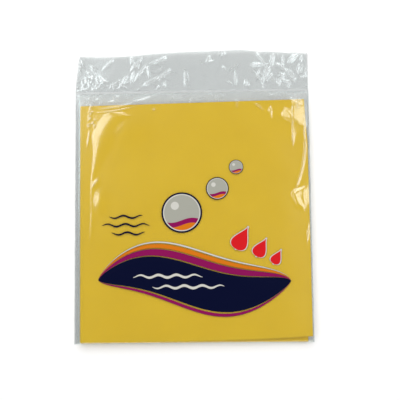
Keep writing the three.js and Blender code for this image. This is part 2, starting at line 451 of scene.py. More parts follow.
@dataclass(frozen=True)
class Ramp:
    """Film that leaves the cloth along a line, rises to the right and then sinks slowly. Lengths in millimetres."""

    # Y, the left edge and the right edge of the rise, from its foot to its head
    marks: tuple[tuple[float, float, float], ...]
    rise: float = 0.165  # how much it rises for each millimetre
    sink: float = 0.05  # how much it sinks after that
    softness: float = 1.1  # how round its top is, as a share of its height

    def relief(self, x: Array, y: Array) -> tuple[Array, Array]:
        """The film's height at points.

        It is the softer minimum of the rise and the sink, less what this is at the line where the film leaves the
        cloth.

        Args:
            x: where the points are across the pack, in millimetres.
            y: where they are along it.

        Returns:
            The height in millimetres, and 0 for how near a ridge is.
        """
        at, left, right = np.array(self.marks).T
        start, end = np.interp(y, at, left), np.interp(y, at, right)
        top = self.rise * (end - start)
        up, down = self.rise * (x - start), top - self.sink * (x - end)
        first, bend = top + self.sink * (end - start), self.softness * top
        height = softer_minimum(up, down, bend) - softer_minimum(0, first, bend)
        return np.where(x > start, np.clip(height, 0, None), 0), np.zeros_like(x)


@dataclass(frozen=True)
class Blister:
    """Film that stands off in one soft round place: height * exp(-(dx / reach)^2 - (dy / reach)^2). In millimetres."""

    centre: tuple[float, float]  # its middle
    reach: tuple[float, float]  # how far it reaches along X and Y
    height: float  # how high it is

    def relief(self, x: Array, y: Array) -> tuple[Array, Array]:
        """The height at points in millimetres, and 0 for how near a ridge is."""
        dx, dy = (x - self.centre[0]) / self.reach[0], (y - self.centre[1]) / self.reach[1]
        return self.height * np.exp(-dx ** 2 - dy ** 2), np.zeros_like(x)


Form = Crease | Facets | Ramp | Blister


@dataclass(frozen=True)
class Crinkles:
    """Many small creases round one place. Lengths in millimetres."""

    centre: tuple[float, float]  # the middle of the cluster
    spread: tuple[float, float]  # how far it spreads along X and Y
    count: int  # how many creases it has
    length: float  # the mean length of one
    height: float  # the mean height of one
    flank: float  # the mean reach of a flank
    sizes: tuple[float, float] = (0.5, 1.6)  # how small and how large one is, as shares of the length
    flanks: tuple[float, float] = (0.5, 1.5)  # the same for its flanks
    heights: tuple[float, float] = (0.6, 1.2)  # the same for its height
    bows: tuple[float, float] = (-0.15, 0.15)  # how far one bends, as shares of its length
    rises: tuple[float, float] = (0.2, 0.7)  # the share of its length over which one grows

    def creases(self, draw: np.random.Generator) -> list[Crease]:
        """The cluster's creases, each with a place, a direction and a size of its own.

        Args:
            draw: the source of the random numbers.

        Returns:
            The creases.
        """
        made = []
        for _ in range(self.count):
            x, y = draw.normal(self.centre, self.spread)
            angle = draw.uniform(0, math.pi)
            size = draw.uniform(*self.sizes)
            reach = self.length * size / 2
            dx, dy = reach * math.cos(angle), reach * math.sin(angle)
            left, right = self.flank * draw.uniform(*self.flanks, 2)
            made.append(Crease(
                (x - dx, y - dy), (x + dx, y + dy), self.height * size * draw.uniform(*self.heights), left, right,
                bow=reach * draw.uniform(*self.bows), rise=draw.uniform(*self.rises),
            ))
        return made


@dataclass(frozen=True)
class Relief:
    """How one film stands off its level: creases and other forms, and the soft swell that it keeps from the roll."""

    forms: list[Form]  # its creases, facets, ramps and blisters
    swell: float  # the height of the swell, in millimetres
    wavelength: float  # its length, in millimetres
    turn: float  # where the swell starts in its cycle
    # each of its sine waves as its shares of X and Y, how often the turn counts, and its phase
    waves_across: tuple[tuple[float, float, float, float], ...] = (
        (1.0, 0.31, 1.0, 0.0), (-0.42, 0.83, 2.1, 0.0), (1.71 * 0.62, 1.71 * 0.9, 0.0, 1.3),
    )

    def folds(self, x: Array, y: Array) -> tuple[Array, Array]:
        """The creases and other forms at points, where the highest one at a point counts.

        Args:
            x: where the points are across the pack, in metres.
            y: where they are along it, in metres.

        Returns:
            The height in metres, and how near a ridge is, from 0 to 1.
        """
        px, py = x / MM, y / MM
        height, ridge = np.zeros_like(px), np.zeros_like(px)
        for form in self.forms:
            rise, near = form.relief(px, py)
            height = np.maximum(height, rise)
            ridge = np.maximum(ridge, near)
        return height * MM, ridge

    def waves(self, x: Array, y: Array) -> Array:
        """The swell at points: the mean of three sine waves that cross each other, lifted so that none is below 0.

        Args:
            x: where the points are across the pack, in metres.
            y: where they are along it, in metres.

        Returns:
            The height in metres.
        """
        k = 2 * math.pi / self.wavelength / MM
        waves = [np.sin(k * (a * x + b * y) + turns * self.turn + phase) for a, b, turns, phase in self.waves_across]
        return self.swell * (1 + sum(waves) / len(waves)) / 2 * MM


@dataclass(frozen=True)
class ChamoisFinish:
    """Synthetic chamois: a dyed, needled felt with a fine short nap."""

    colour: Colour = (0.785, 0.534, 0.018)  # the dye
    shade: Colour = (0.722, 0.474, 0.012)  # the dye where it took less
    fibre: float = 2600.0  # fibres to a metre
    # how the noise of the fibres is stretched, once along V and once along U
    drawn: tuple[tuple[float, float, float], ...] = ((1.0, 0.22, 1.0), (0.22, 1.0, 1.0))
    nap: float = 0.12 * MM  # how high they stand
    pile: float = 0.6  # how much the fine mottle counts in the height of the felt
    mottle: tuple[float, float] = (0.6, 0.4)  # how much the wide and the fine mottle count in the dye
    # the mottle below which the dye took least, and how fast it takes better above that
    take: tuple[float, float] = (0.3, 1.6)

    def material(self) -> bpy.types.Material:
        """A matt felt: mottled dye, fine fibres as bump, and a light sheen.

        Returns:
            The material.
        """
        shader = Shader(bpy.data.materials.new("chamois_felt"))
        flat = shader.node("ShaderNodeUVMap", {"uv_map": "flat"})
        wide = shader.noise(flat, scale=28.0, detail=3.0)
        fine = shader.noise(flat, scale=420.0, detail=4.0, roughness=0.65)
        along, across = (
            shader.noise(shader.node("ShaderNodeMapping", inputs={"Vector": flat, "Scale": drawn}), self.fibre, 2.0)
            for drawn in self.drawn
        )
        felt = along * 0.5 + across * 0.5
        took = (wide * self.mottle[0] + fine * self.mottle[1] - self.take[0]).share() * self.take[1]
        dye = shader.mix_colour(took, self.shade, self.colour)
        bump = shader.node("ShaderNodeBump", inputs={
            "Strength": 0.35, "Distance": self.nap, "Height": felt + fine * self.pile,
        })
        return shader.finish(shader.node("ShaderNodeBsdfPrincipled", inputs={
            "Base Color": dye, "Roughness": felt * 0.1 + 0.86, "Specular IOR Level": 0.15,
            "Sheen Weight": 0.12, "Sheen Roughness": 0.5, "Sheen Tint": (1.0, 0.86, 0.45, 1.0), "Normal": bump,
        }))


class Ink(Enum):
    """The printing inks."""

    NAVY = (0.0014, 0.0030, 0.0225)
    MAGENTA = (0.24, 0.006, 0.085)
    ORANGE = (0.62, 0.17, 0.008)
    RED = (0.62, 0.012, 0.016)
    WHITE = (0.58, 0.57, 0.52)
    PALE = (0.36, 0.36, 0.31)


@dataclass(frozen=True)
class Drop:
    """A printed drop. Lengths in millimetres."""

    x: float  # its middle across the pack
    y: float  # its middle along it
    reach: float  # from its middle to its tip
    turn: float  # how far its tip leans to the left, in degrees


@dataclass(frozen=True)
class Bubble:
    """A printed bubble: a ring round a pale disc. Lengths in millimetres."""

    x: float  # its middle across the pack
    y: float  # its middle along it
    radius: float  # its radius, with the ring


@dataclass(frozen=True)
class Streak:
    """A printed wavy line. Lengths in millimetres."""

    y: float  # its height on the pack, in its middle
    start: float  # its left end
    end: float  # its right end
    weight: float  # how thick it is in its middle


@dataclass(frozen=True)
class WavePrint:
    """The inks on the front of the pocket: a wave with crests of colour over it, drops, bubbles and streaks."""

    tip: float = -79.0  # where the wave starts on the left, in millimetres
    reach: float = 160.0  # how long the wave is
    middle: float = -74.0  # how high its middle line is on the pack
    rise: float = 9.0  # how far the middle line swings to either side
    swing: tuple[float, float] = (6.0, 0.4)  # the angle that it swings through and the one that it starts at
    half: float = 17.0  # half its height in its middle
    fullness: float = 0.7  # how slowly it tapers, less for a blunter wave
    thinnest: float = 0.001  # what is added to its height, so that it isn't 0 at its tips
    softness: float = 0.25  # how soft the edge of an ink is
    # the wave and its crests: from where to where, in heights of the wave, and the ink
    bands: tuple[tuple[float, float, Ink], ...] = (
        (-1.0, 1.0, Ink.NAVY), (1.06, 1.42, Ink.MAGENTA), (1.48, 1.70, Ink.ORANGE), (1.76, 1.84, Ink.WHITE),
        (-1.24, -1.08, Ink.MAGENTA),
    )
    waviness: tuple[float, float] = (0.42, 1.1)  # radians to a millimetre of a wavy line, and how far it swings
    drop_rim: float = 0.8  # how wide a drop's white rim is
    # the rings and the disc of a bubble, as shares of its radius
    discs: tuple[tuple[float, Ink], ...] = ((1.0, Ink.NAVY), (0.92, Ink.WHITE), (0.87, Ink.PALE))
    water: float = 3.0  # the waves across a bubble's radius, in radians
    # their height, how far under the middle they are and how thick the top layer is, as shares of it
    water_sizes: tuple[float, float, float] = (0.12, 0.38, 0.24)
    # how far up and to the left a bubble's gleam lies, and its radius, as shares of the bubble's
    gleam: tuple[float, float] = (0.34, 0.2)
    drops: tuple[Drop, ...] = (Drop(41, -37, 10.5, -30), Drop(57, -45, 8.5, -30), Drop(70, -53, 6.5, -30))
    bubbles: tuple[Bubble, ...] = (Bubble(-9, -15, 17), Bubble(21, 5, 9.5), Bubble(37, 23, 6))
    streaks: tuple[Streak, ...] = (Streak(-68, -50, 8, 2.2), Streak(-77, -34, 26, 2.2))
    lines: tuple[Streak, ...] = (Streak(-18, -70, -42, 1.5), Streak(-25, -76, -36, 1.5), Streak(-32, -68, -40, 1.5))

    def edge(self, inside: Value) -> Value:
        """1 where a distance in millimetres is inside, 0 where it is outside, and a soft step between."""
        return (inside / self.softness + 0.5).share()

    def drop(self, x: Value, y: Value, mark: Drop) -> Value:
        """How far a point lies inside a drop.

        With u along the drop from its round end at -1 to its tip at 1, the drop is half its reach times
        (1 - u) * sqrt(1 - u^2) wide to either side, and ends where |u| is 1.

        Args:
            x: the point's place across the pack.
            y: its place along it.
            mark: the drop.

        Returns:
            The distance, positive inside.
        """
        c, s = math.cos(math.radians(mark.turn)), math.sin(math.radians(mark.turn))
        dx, dy = x - mark.x, y - mark.y
        u = (dy * c - dx * s) / mark.reach
        v = dx * c + dy * s
        wide = (1 - u) * (1 - u * u).root() * (mark.reach / 2)
        return (wide - abs(v)).least((1 - abs(u)) * mark.reach)

    def streak(self, x: Value, y: Value, mark: Streak) -> Value:
        """How far a point lies inside a wavy line that is thickest in its middle and tapers as a half ellipse.

        Args:
            x: the point's place across the pack.
            y: its place along it.
            mark: the line.

        Returns:
            The distance, positive inside.
        """
        centre, half = (mark.start + mark.end) / 2, (mark.end - mark.start) / 2
        away = (x - centre) / half
        wander = (x * self.waviness[0] + mark.y).sine() * self.waviness[1]
        inside = (1 - away * away).root() * (mark.weight / 2) - abs(y - mark.y - wander)
        return inside.least((1 - abs(away)) * half)

    def wave(self, x: Value, y: Value) -> list[tuple[Value, Ink]]:
        """The wave and its crests.

        The wave's middle line is middle + rise * sin(swing * s + start) and it is half * (4s(1 - s))^fullness high to
        either side, with s the share of its length. k is a point's height over the middle line in such heights: the
        wave is where |k| < 1, and its crests are bands of k over 1.

        Args:
            x: the point's place across the pack.
            y: its place along it.

        Returns:
            How much of the surface each band covers, and its ink.
        """
        run = (x - self.tip) / self.reach
        s = run.share()
        line = (s * self.swing[0] + self.swing[1]).sine() * self.rise + self.middle
        high = (s * (1 - s) * 4) ** self.fullness * self.half + self.thinnest
        k = (y - line) / high
        within = self.edge(run.least(1 - run) * self.reach)
        return [
            (self.edge((k - low) * high).least(self.edge((top - k) * high)).least(within), ink)
            for low, top, ink in self.bands
        ]

    def bubble(self, x: Value, y: Value, mark: Bubble) -> list[tuple[Value, Ink]]:
        """A bubble's rings and disc, the two layers of water in it, and its gleam, each with its ink.

        Args:
            x: the point's place across the pack.
            y: its place along it.
            mark: the bubble.

        Returns:
            How much of the surface each covers, and its ink.
        """
        swell, depth, layer = (share * mark.radius for share in self.water_sizes)
        dx, dy = x - mark.x, y - mark.y
        out = (dx * dx + dy * dy).root()
        disc = mark.radius * self.discs[-1][0] - out
        under = (dx * (self.water / mark.radius)).sine() * swell - depth - dy
        aside, size = (share * mark.radius for share in self.gleam)
        gleam_x, gleam_y = dx + aside, dy - aside
        return [
            *((self.edge(mark.radius * share - out), ink) for share, ink in self.discs),
            (self.edge(disc.least(under)), Ink.MAGENTA), (self.edge(disc.least(under - layer)), Ink.ORANGE),
            (self.edge(size - (gleam_x * gleam_x + gleam_y * gleam_y).root()), Ink.WHITE),
        ]

    def ink(self, shader: Shader) -> tuple[Value, Value]:
        """Draws the print in a material, each layer over those before it.

        Args:
            shader: the material to draw it in.

        Returns:
            How much of the surface is ink, and the ink's colour.
        """
        x, y, _ = shader.place()
        layers = self.wave(x, y)
        layers += [(self.edge(self.streak(x, y, mark)), Ink.WHITE) for mark in self.streaks]
        for mark in self.drops:
            inside = self.drop(x, y, mark)
            layers += [(self.edge(inside + self.drop_rim), Ink.WHITE), (self.edge(inside), Ink.RED)]
        for mark in self.bubbles:
            layers += self.bubble(x, y, mark)
        layers += [(self.edge(self.streak(x, y, mark)), Ink.NAVY) for mark in self.lines]

        cover, first = layers[0]
        colour = shader.mix_colour(0.0, first.value, first.value)
        for mask, ink in layers[1:]:
            colour = shader.mix_colour(mask, colour, ink.value)
            cover = cover.most(mask)
        return cover, colour


@dataclass(frozen=True)
class FilmFinish:
    """Clear blown film."""

    name: str  # the material's name
    clearness: float = 1.0  # the share of light that each face lets through
    mirror: float = 0.077  # the share that each face mirrors, seen straight on
    roughness: float = 0.12  # how rough it is
    stress_white_and_highlight: float = 0.16  # how much of the surface is whitened along a crease: partly the film's stress whitening, partly a painted highlight on the ridge
    haze: float = 0.0  # how milky it is all over
    printed: WavePrint | None = None  # the inks on it
    tint: Colour = (0.996, 1.0, 0.998)  # the colour of the light that it lets through
    gleam: Colour = (0.90, 0.98, 1.0)  # the colour of what it mirrors
    marks: float = 900.0  # gel marks to a metre
    mark_height: float = 0.06 * MM  # how high they stand

    def material(self) -> bpy.types.Material:
        """See-through film with fine gel marks, which mirrors more at a slant: mirror + (1 - mirror) * (1 - cos)^5.

        Returns:
            The material.
        """
        shader = Shader(bpy.data.materials.new(self.name))
        gel = shader.noise(shader.node("ShaderNodeTexCoord", output="Object"), self.marks, 3.0)
        bump = shader.node("ShaderNodeBump", inputs={"Strength": 0.12, "Distance": self.mark_height, "Height": gel})
        clear = shader.node("ShaderNodeBsdfTransparent", inputs={
            "Color": tuple(self.clearness * part for part in self.tint),
        })
        gloss = shader.node("ShaderNodeBsdfGlossy", {"distribution": "GGX"}, {
            "Color": self.gleam, "Roughness": gel * 0.06 + self.roughness, "Normal": bump,
        })
        slant = shader.node("ShaderNodeLayerWeight", inputs={"Blend": 0.5}, output="Facing")
        surface = shader.mix_shader(slant ** 5.0 * (1 - self.mirror) + self.mirror, clear, gloss)
        # painted highlight and stress whitening: a pale matt layer mixed in along crease ridges, so creases show bright
        # lines whatever the light
        white = shader.node("ShaderNodeBsdfPrincipled", inputs={"Base Color": (0.80, 0.81, 0.80), "Roughness": 0.5})
        ridge = shader.node("ShaderNodeAttribute", {"attribute_name": "ridge"}, output="Fac")
        surface = shader.mix_shader((ridge * self.stress_white_and_highlight + self.haze).share(), surface, white)
        if self.printed is not None:
            cover, colour = self.printed.ink(shader)
            ink = shader.node("ShaderNodeBsdfPrincipled", inputs={
                "Base Color": colour, "Roughness": gel * 0.1 + 0.32, "Specular IOR Level": 0.06, "Normal": bump,
            })
            surface = shader.mix_shader(cover, surface, ink)
        return shader.finish(surface)


@dataclass(frozen=True)
class PackSizes:
    """The sizes that the cloth, the film and the welds share, as the CAD model has them."""

    film: float = 0.15 * MM  # the thickness of the film
    ply_gap: float = 0.1 * MM  # the air between two plies
    seat_gap: float = 0.3 * MM  # the air between the cloth and the film
    leaf: float = 1.1 * MM  # the thickness of the cloth
    leaf_gap: float = 0.3 * MM  # the air between two leaves of a half
    spine_gap: float = 0.3 * MM  # the air between the two halves
    cloth_width: float = 380 * MM  # the width of the open cloth
    cloth_length: float = 400 * MM  # its length
    fold_offset: float = 1.6 * MM  # how far the book fold lies off its middle
    front_slope: float = math.tan(math.radians(0.7))  # how fast the front half's foot rises away from the spine
    back_slope: float = -math.tan(math.radians(0.35))  # the same for the back half
    turn: float = math.radians(0.25)  # how far the cloth has turned in the bag, in radians
    left_slack: float = 3.3 * MM  # the room between the left weld and the spine
    right_slack: float = 1.1 * MM  # the room between the cut edges and the right weld
    side_weld: float = 1.0 * MM  # the width of a side weld
    closing_weld: float = 2.4 * MM  # the width of the closing weld

    @property
    def half_pack(self) -> float:
        """Half the thickness of the folded cloth."""
        return self.spine_gap / 2 + 2 * self.leaf + self.leaf_gap

    @property
    def cloth_middle(self) -> float:
        """The height of the plane between the cloth's two halves."""
        return self.film + self.seat_gap + self.half_pack

    @property
    def film_top(self) -> float:
        """The height of the front film over the cloth."""
        return self.cloth_middle + self.half_pack + self.seat_gap + self.film

    @property
    def plies(self) -> float:
        """The thickness of two plies that lie on each other."""
        return 2 * self.film + self.ply_gap

    @property
    def spine_turn(self) -> float:
        """How much of the cloth's width the turn round the spine takes."""
        return math.pi * self.half_pack / 2

    @property
    def front_reach(self) -> float:
        """From the spine to the cut edge of the front half."""
        return (self.cloth_width - self.spine_turn) / 2 + self.fold_offset

    @property
    def back_reach(self) -> float:
        """From the spine to the cut edge of the back half."""
        return (self.cloth_width - self.spine_turn) / 2 - self.fold_offset

    @property
    def lean(self) -> float:
        """How far the head of the cloth has swung to the left of its foot."""
        return self.cloth_length / 2 * math.sin(self.turn)

    @property
    def pocket_width(self) -> float:
        """The width of the pocket between its side welds."""
        return self.left_slack + self.half_pack + self.front_reach + self.lean + self.right_slack

    @property
    def bag_half(self) -> float:
        """Half the width of the bag over its side welds."""
        return self.pocket_width / 2 + self.side_weld

    @property
    def spine(self) -> float:
        """Where the middle of the spine is across the pack."""
        return -self.pocket_width / 2 + self.left_slack + self.half_pack

    @property
    def foot(self) -> float:
        """The pack's foot, in the row frame."""
        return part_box("bottom_fold")[0].y

    @property
    def cloth_foot(self) -> float:
        """The foot of the cloth's spine, over the pack's foot."""
        swing = max(-self.back_slope - math.tan(self.turn), 0.0)
        return self.film + self.seat_gap + self.back_reach * swing

    @property
    def cloth_head(self) -> float:
        """The cloth's highest corner, over the pack's foot."""
        return self.cloth_foot + self.cloth_length / 2 + self.front_reach * (self.front_slope + math.tan(self.turn))

    @property
    def weld_foot(self) -> float:
        """Where the closing weld starts, in the row frame."""
        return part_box("closing_weld")[0].y

    @property
    def weld_head(self) -> float:
        """Where the closing weld ends, in the row frame."""
        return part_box("closing_weld")[1].y


SIZES = PackSizes()


@dataclass(frozen=True)
class FoldedCloth:
    """The chamois cloth: one sheet folded in half at its foot, then like a book at the left."""

    columns: int = 64  # steps across each half
    rows: int = 66  # steps along each leaf
    turns: int = 14  # steps round each fold
    slump: float = 0.35 * MM  # how far the middle of the pile sinks below its folds
    settle: tuple[float, float] = (0.045, 0.05)  # how far in from the spine and from the foot it has sunk fully
    # the share of the slump that it sinks by there, and how much that varies
    settled_share: tuple[float, float] = (0.88, 0.12)
    # how far out of its line the front half's cut edge lies, by the share of its height, in millimetres
    cut_edge: tuple[tuple[float, float], ...] = (
        (0, 0.55), (0.2, 0.55), (0.3, 0.68), (0.82, 0.6), (0.87, -0.2), (1, -1.5),
    )
    sag: float = 1.0 * MM  # how far the front half's foot sinks in its middle
    corner_lift: float = 0.9 * MM  # how far it lifts at the cut edge
    corner: int = 8  # the power of the share across by which it lifts
    sag_reach: float = 120 * MM  # how far up the cloth both of these fade out
    finish: ChamoisFinish = ChamoisFinish()  # its felt

    def profile(self) -> tuple[Array, Array, Array, Array]:
        """The first fold, seen from the side: down the inner leaf, round the foot and up the outer leaf.

        Returns:
            The height and the depth under the pile's middle plane for a point of the cloth's middle, and how far each
            of them moves for a point that lies one metre out of it.
        """
        radius = (SIZES.leaf + SIZES.leaf_gap) / 2
        turn_y = radius + SIZES.leaf / 2
        inner = SIZES.spine_gap / 2 + SIZES.leaf / 2
        heights = turn_y + np.linspace(0, 1, self.rows + 1)[1:] * (SIZES.cloth_length / 2 - turn_y)
        angle = np.linspace(0, math.pi, self.turns + 1)
        level = np.ones(self.rows)
        y = np.concatenate([heights[::-1], turn_y - radius * np.sin(angle), heights])
        depth = np.concatenate([level * inner, inner + radius * (1 - np.cos(angle)), level * (inner + 2 * radius)])
        out_y = np.concatenate([level * 0, -np.sin(angle), level * 0])
        out_depth = np.concatenate([-level, -np.cos(angle), level])
        return y, depth, out_y, out_depth

    def surface(self, out: float) -> Patch:
        """One face of the folded cloth.

        The book fold carries the profile round the spine: across = away - depth * sin(angle) and
        height = y + away * rise, with the angle 0 on the back half and half a turn on the front half, and the rise of
        the half's foot for each metre away from the spine. The foot of the front half also sags by
        sag * 4s(1 - s) - corner_lift * s^corner, with s its share of the reach. Then both turn with the cloth.
        The pile sinks by a smooth bowl in its middle.

        Args:
            out: how far the face lies out of the cloth's middle.

        Returns:
            The face: a row of points along the profile at each place across.
        """
        y, depth, out_y, out_depth = self.profile()
        y, depth = y + out * out_y, depth + out * out_depth
        share = np.linspace(0, 1, self.columns + 1)[1:]
        none = np.zeros(self.turns + 1)
        reach = np.concatenate([share[::-1], none, share])[:, None]
        angle = np.concatenate([0 * share, np.linspace(0, math.pi, self.turns + 1), 0 * share + math.pi])[:, None]
        front = angle > math.pi / 2
        at, offset = np.array(self.cut_edge).T
        skew = MM * np.interp(2 * y / SIZES.cloth_length, at, offset)
        away = reach * np.where(front, SIZES.front_reach + skew, SIZES.back_reach)
        across = away - depth * np.sin(angle)
        height = y + away * np.where(front, SIZES.front_slope, SIZES.back_slope)
        sag = self.corner_lift * reach ** self.corner - self.sag * 4 * reach * (1 - reach)
        height = height + np.where(front, sag, 0) * (1 - smooth_step(y / self.sag_reach))
        c, s = math.cos(SIZES.turn), math.sin(SIZES.turn)
        px = SIZES.spine + SIZES.lean + across * c - height * s
        py = SIZES.foot + SIZES.cloth_foot + across * s + height * c
        pz = SIZES.cloth_middle - depth * np.cos(angle)
        return Patch.grid(px, py, self.settled(px, py, pz))

    def settled(self, x: Array, y: Array, z: Array) -> Array:
        """The height of points once the pile has sunk: less by up to slump away from the folds, in step with z.

        Args:
            x: where the points are across the pack.
            y: where they are along it.
            z: their height before that.

        Returns:
            Their height.
        """
        low = SIZES.film + SIZES.seat_gap
        across = smooth_step((x - SIZES.spine) / self.settle[0])
        along = smooth_step((y - SIZES.foot) / self.settle[1])
        meander = 1.4 * ripple(y, length=0.04)
        waves = ripple(x, length=0.021, start=meander) * ripple(y, length=0.034, start=0.6)
        share = self.settled_share[0] + self.settled_share[1] * waves
        return low + (z - low) * (1 - self.slump / (2 * SIZES.half_pack) * across * along * share)

    def flat(self) -> Array:
        """Where each point lay on the flat cloth.

        Returns:
            U and V of each point, in metres.
        """
        y, depth, *_ = self.profile()
        along = np.concatenate([[0.0], np.cumsum(np.hypot(np.diff(y), np.diff(depth)))])
        share = np.linspace(0, 1, self.columns + 1)[1:]
        across = np.concatenate([
            (1 - share[::-1]) * SIZES.back_reach,
            SIZES.back_reach + np.linspace(0, 1, self.turns + 1) * SIZES.spine_turn,
            SIZES.back_reach + SIZES.spine_turn + share * SIZES.front_reach,
        ])
        u, v = np.meshgrid(across, along, indexing="ij")
        return np.stack([u, v], axis=-1).reshape(-1, 2)

    def build(self) -> bpy.types.Object:
        """Returns:
            The piece.
        """
        outer, inner = self.surface(SIZES.leaf / 2), self.surface(-SIZES.leaf / 2)
        made = Piece("cloth_folded", Slot.CHAMOIS, "chamois_cloth").build(
            outer.closed(inner.points), self.finish.material(), uv=np.tile(self.flat(), (2, 1)),
        )
        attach(made, Body.POCKET.value)
        return made


@dataclass(frozen=True)
class BagPart:
    """A part of the bag."""

    relief: Relief  # how its film stands off
    clear: bpy.types.Material  # the finish of the film where it is bare
    welded: bpy.types.Material  # the finish of the welds

    def film(self, name: str, node: str, patch: Patch, ridge: Array | None = None,
             finish: bpy.types.Material | None = None) -> bpy.types.Object:
        """Builds one film.

        Args:
            name: the piece's name.
            node: the CAD node that it stands for.
            patch: its middle surface, without its thickness.
            ridge: how near a crease's ridge each point is.
            finish: its finish, where that isn't bare film.

        Returns:
            The piece, which rides on no body yet.
        """
        both = None if ridge is None else np.tile(ridge.ravel(), 2)
        return Piece(name, Slot.CLEAR_FILM, node).build(patch.wall(SIZES.film), finish or self.clear, both)

    def weld(self, name: str, node: str, top: Patch, base: Array | float = 0.0) -> bpy.types.Object:
        """Builds one weld.

        Args:
            name: the piece's name.
            node: the CAD node that it stands for.
            top: its upper surface.
            base: the height of its lower surface at each point.

        Returns:
            The piece, which rides on no body yet.
        """
        under = np.stack(np.broadcast_arrays(*top.points.T[:2], np.ravel(base)), axis=-1)
        return Piece(name, Slot.WELDED_FILM, node).build(top.closed(under), self.welded)


@dataclass(frozen=True)
class Pocket(BagPart):
    """The pocket: front and back films, the fold round the foot, the side welds and the closing weld."""

    printed: bpy.types.Material  # the finish of the front film, with the inks
    edge_squareness: float = 9.0  # how square the film's slope is at the cut edges of the cloth
    head_squareness: float = 1.0  # the same from the cloth's head to the closing weld
    flat_run: float = 1.9 * MM  # how far the front film lies level past the left weld
    spine_bend: float = 0.3 * MM  # how round the front film's bend over the spine is
    reach_in: float = 26 * MM  # how far in from the pocket's borders the swell has its full height
    # how far in from the spine, the right weld, the foot and the closing weld the creases fade out
    fades: tuple[float, float, float, float] = (1.5 * MM, 3 * MM, 8 * MM, 1.5 * MM)
    fold_rise_share: float = 0.45  # the most that the radius of the fold at the foot takes of the film's height
    fold_steps: int = 8  # steps round each quarter of that fold
    # where the plain middle of the cloth starts and ends across the pack, in the row frame
    plain_across: tuple[float, float] = (-0.070, 0.062)
    plain_along: tuple[float, float] = (-0.100, 0.045)  # the same along it
    # the mesh's steps over the level run at the left weld, the slope to the spine, the creased left, the plain
    # middle, the creased right and the slope at the right weld
    steps_across: tuple[float, ...] = (0.4 * MM, 0.1 * MM, 0.6 * MM, 1.8 * MM, 0.6 * MM, 0.14 * MM)
    # its steps over the foot, the plain middle, the creased head, the cloth's head and the slope to the closing weld
    steps_along: tuple[float, ...] = (1.2 * MM, 1.8 * MM, 0.6 * MM, 0.075 * MM, 0.6 * MM)
    head_edge: float = 0.15 * MM  # how far to either side of the cloth's head it is finest
    back_step: float = 4 * MM  # its step in the back film
    weld_step: float = 0.8 * MM  # its step along the welds
    bead_steps: int = 6  # its steps across a side weld
    rib_steps: int = 8  # its steps across a rib of the closing weld
    wander: float = 0.12 * MM  # how far a side weld's outer edge strays
    # the thickness of a side weld at its edges and what its swell adds, as shares of two plies
    bead: tuple[float, float] = (0.78, 0.22)
    # the share t of the swell's run, as how fast it grows across the weld and where it starts
    bead_run: tuple[float, float] = (1.3, 0.25)
    rounding: tuple[float, int] = (0.35, 6)  # how much the outer edge is rounded down, and the power by which it is
    pucker: float = 0.06 * MM  # how far the closing weld shrank here and there
    rib: float = 0.006 * MM  # how deep its ribs are
    ribs: int = 4  # how many ribs it has
    weld_swell: float = 0.004 * MM  # how much thicker it is here and there

    def share_up(self, x: Array) -> Array:
        """How much of its full height the front film has at a place across the pack.

        Past the left weld it is level for a while and runs straight up, touching a circle round the spine, to a small
        bend over it: the softer minimum of that line and the full height. From the right weld it is a square slope.

        Args:
            x: the place.

        Returns:
            The share, from 0 to 1.
        """
        half = SIZES.pocket_width / 2
        start = self.flat_run - half
        low, high = self.film_height(np.array([0.0, 1.0]))
        radius = high - SIZES.cloth_middle
        out, up = SIZES.spine - start, SIZES.cloth_middle - low
        steep = math.atan2(up, out) + math.asin(radius / math.hypot(out, up))
        line = low + np.maximum(x - start, 0) * math.tan(steep)
        left = (softer_minimum(line, high, self.spine_bend) - low) / (high - low)
        return np.minimum(left, slope((half - x) / SIZES.right_slack, self.edge_squareness))

    def film_height(self, share: Array) -> Array:
        """The height of the middle of the front film where it has this share of its rise over the back film."""
        low = SIZES.film * 1.5 + SIZES.ply_gap
        return low + share * (SIZES.film_top - SIZES.film / 2 - low)

    def columns(self) -> Array:
        """The mesh's places across the pocket: fine over both edges of the cloth.

        Returns:
            X of each, in the row frame.
        """
        half = SIZES.pocket_width / 2
        marks = [-half, self.flat_run - half, SIZES.spine, *self.plain_across, half - SIZES.right_slack, half]
        return spaced(marks, self.steps_across)

    @property
    def seam(self) -> float:
        """Where the front and back films meet the fold round the foot, in the row frame."""
        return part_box("pocket_front_film")[0].y

    def front(self) -> bpy.types.Object:
        """Builds the front film.

        Its height is the full rise times the share across the pack and the share along it, which slopes down from the
        cloth's head to the closing weld. The creases and the swell stand on that, faded out at the borders.

        Returns:
            The piece.
        """
        head = SIZES.foot + SIZES.cloth_head + SIZES.seat_gap
        marks = [self.seam, *self.plain_along, head - self.head_edge, head + self.head_edge, SIZES.weld_foot]
        x, y = np.meshgrid(self.columns(), spaced(marks, self.steps_along), indexing="ij")
        along = np.where(y < head, 1, slope((SIZES.weld_foot - y) / (SIZES.weld_foot - head), self.head_squareness))
        base = self.film_height(self.share_up(x) * along)
        raised, ridge = self.relief.folds(x, y)
        half = SIZES.pocket_width / 2
        at_spine, at_right, at_foot, at_head = self.fades
        fade = (
            smooth_step((x - SIZES.spine) / at_spine + 1) * smooth_step((half - x) / at_right)
            * smooth_step((y - self.seam) / at_foot) * smooth_step((SIZES.weld_foot - y) / at_head)
        )
        inside = np.minimum(np.minimum(x - SIZES.spine, half - x), np.minimum(y - self.seam, head - y))
        swell = self.relief.waves(x, y) * smooth_step(inside / self.reach_in)
        middle = Patch.grid(x, y, base + raised * fade + swell)
        return self.film("film_pocket_front", "pocket_front_film", middle, ridge * fade, self.printed)

    def back(self) -> bpy.types.Object:
        """Builds the back film, level on the table.

        Returns:
            The piece.
        """
        half = SIZES.pocket_width / 2
        across, along = (spaced(ends, [self.back_step]) for ends in ([-half, half], [self.seam, SIZES.weld_foot]))
        x, y = np.meshgrid(across, along, indexing="ij")
        return self.film("film_pocket_back", "pocket_back_film", Patch.grid(x, y, SIZES.film / 2))

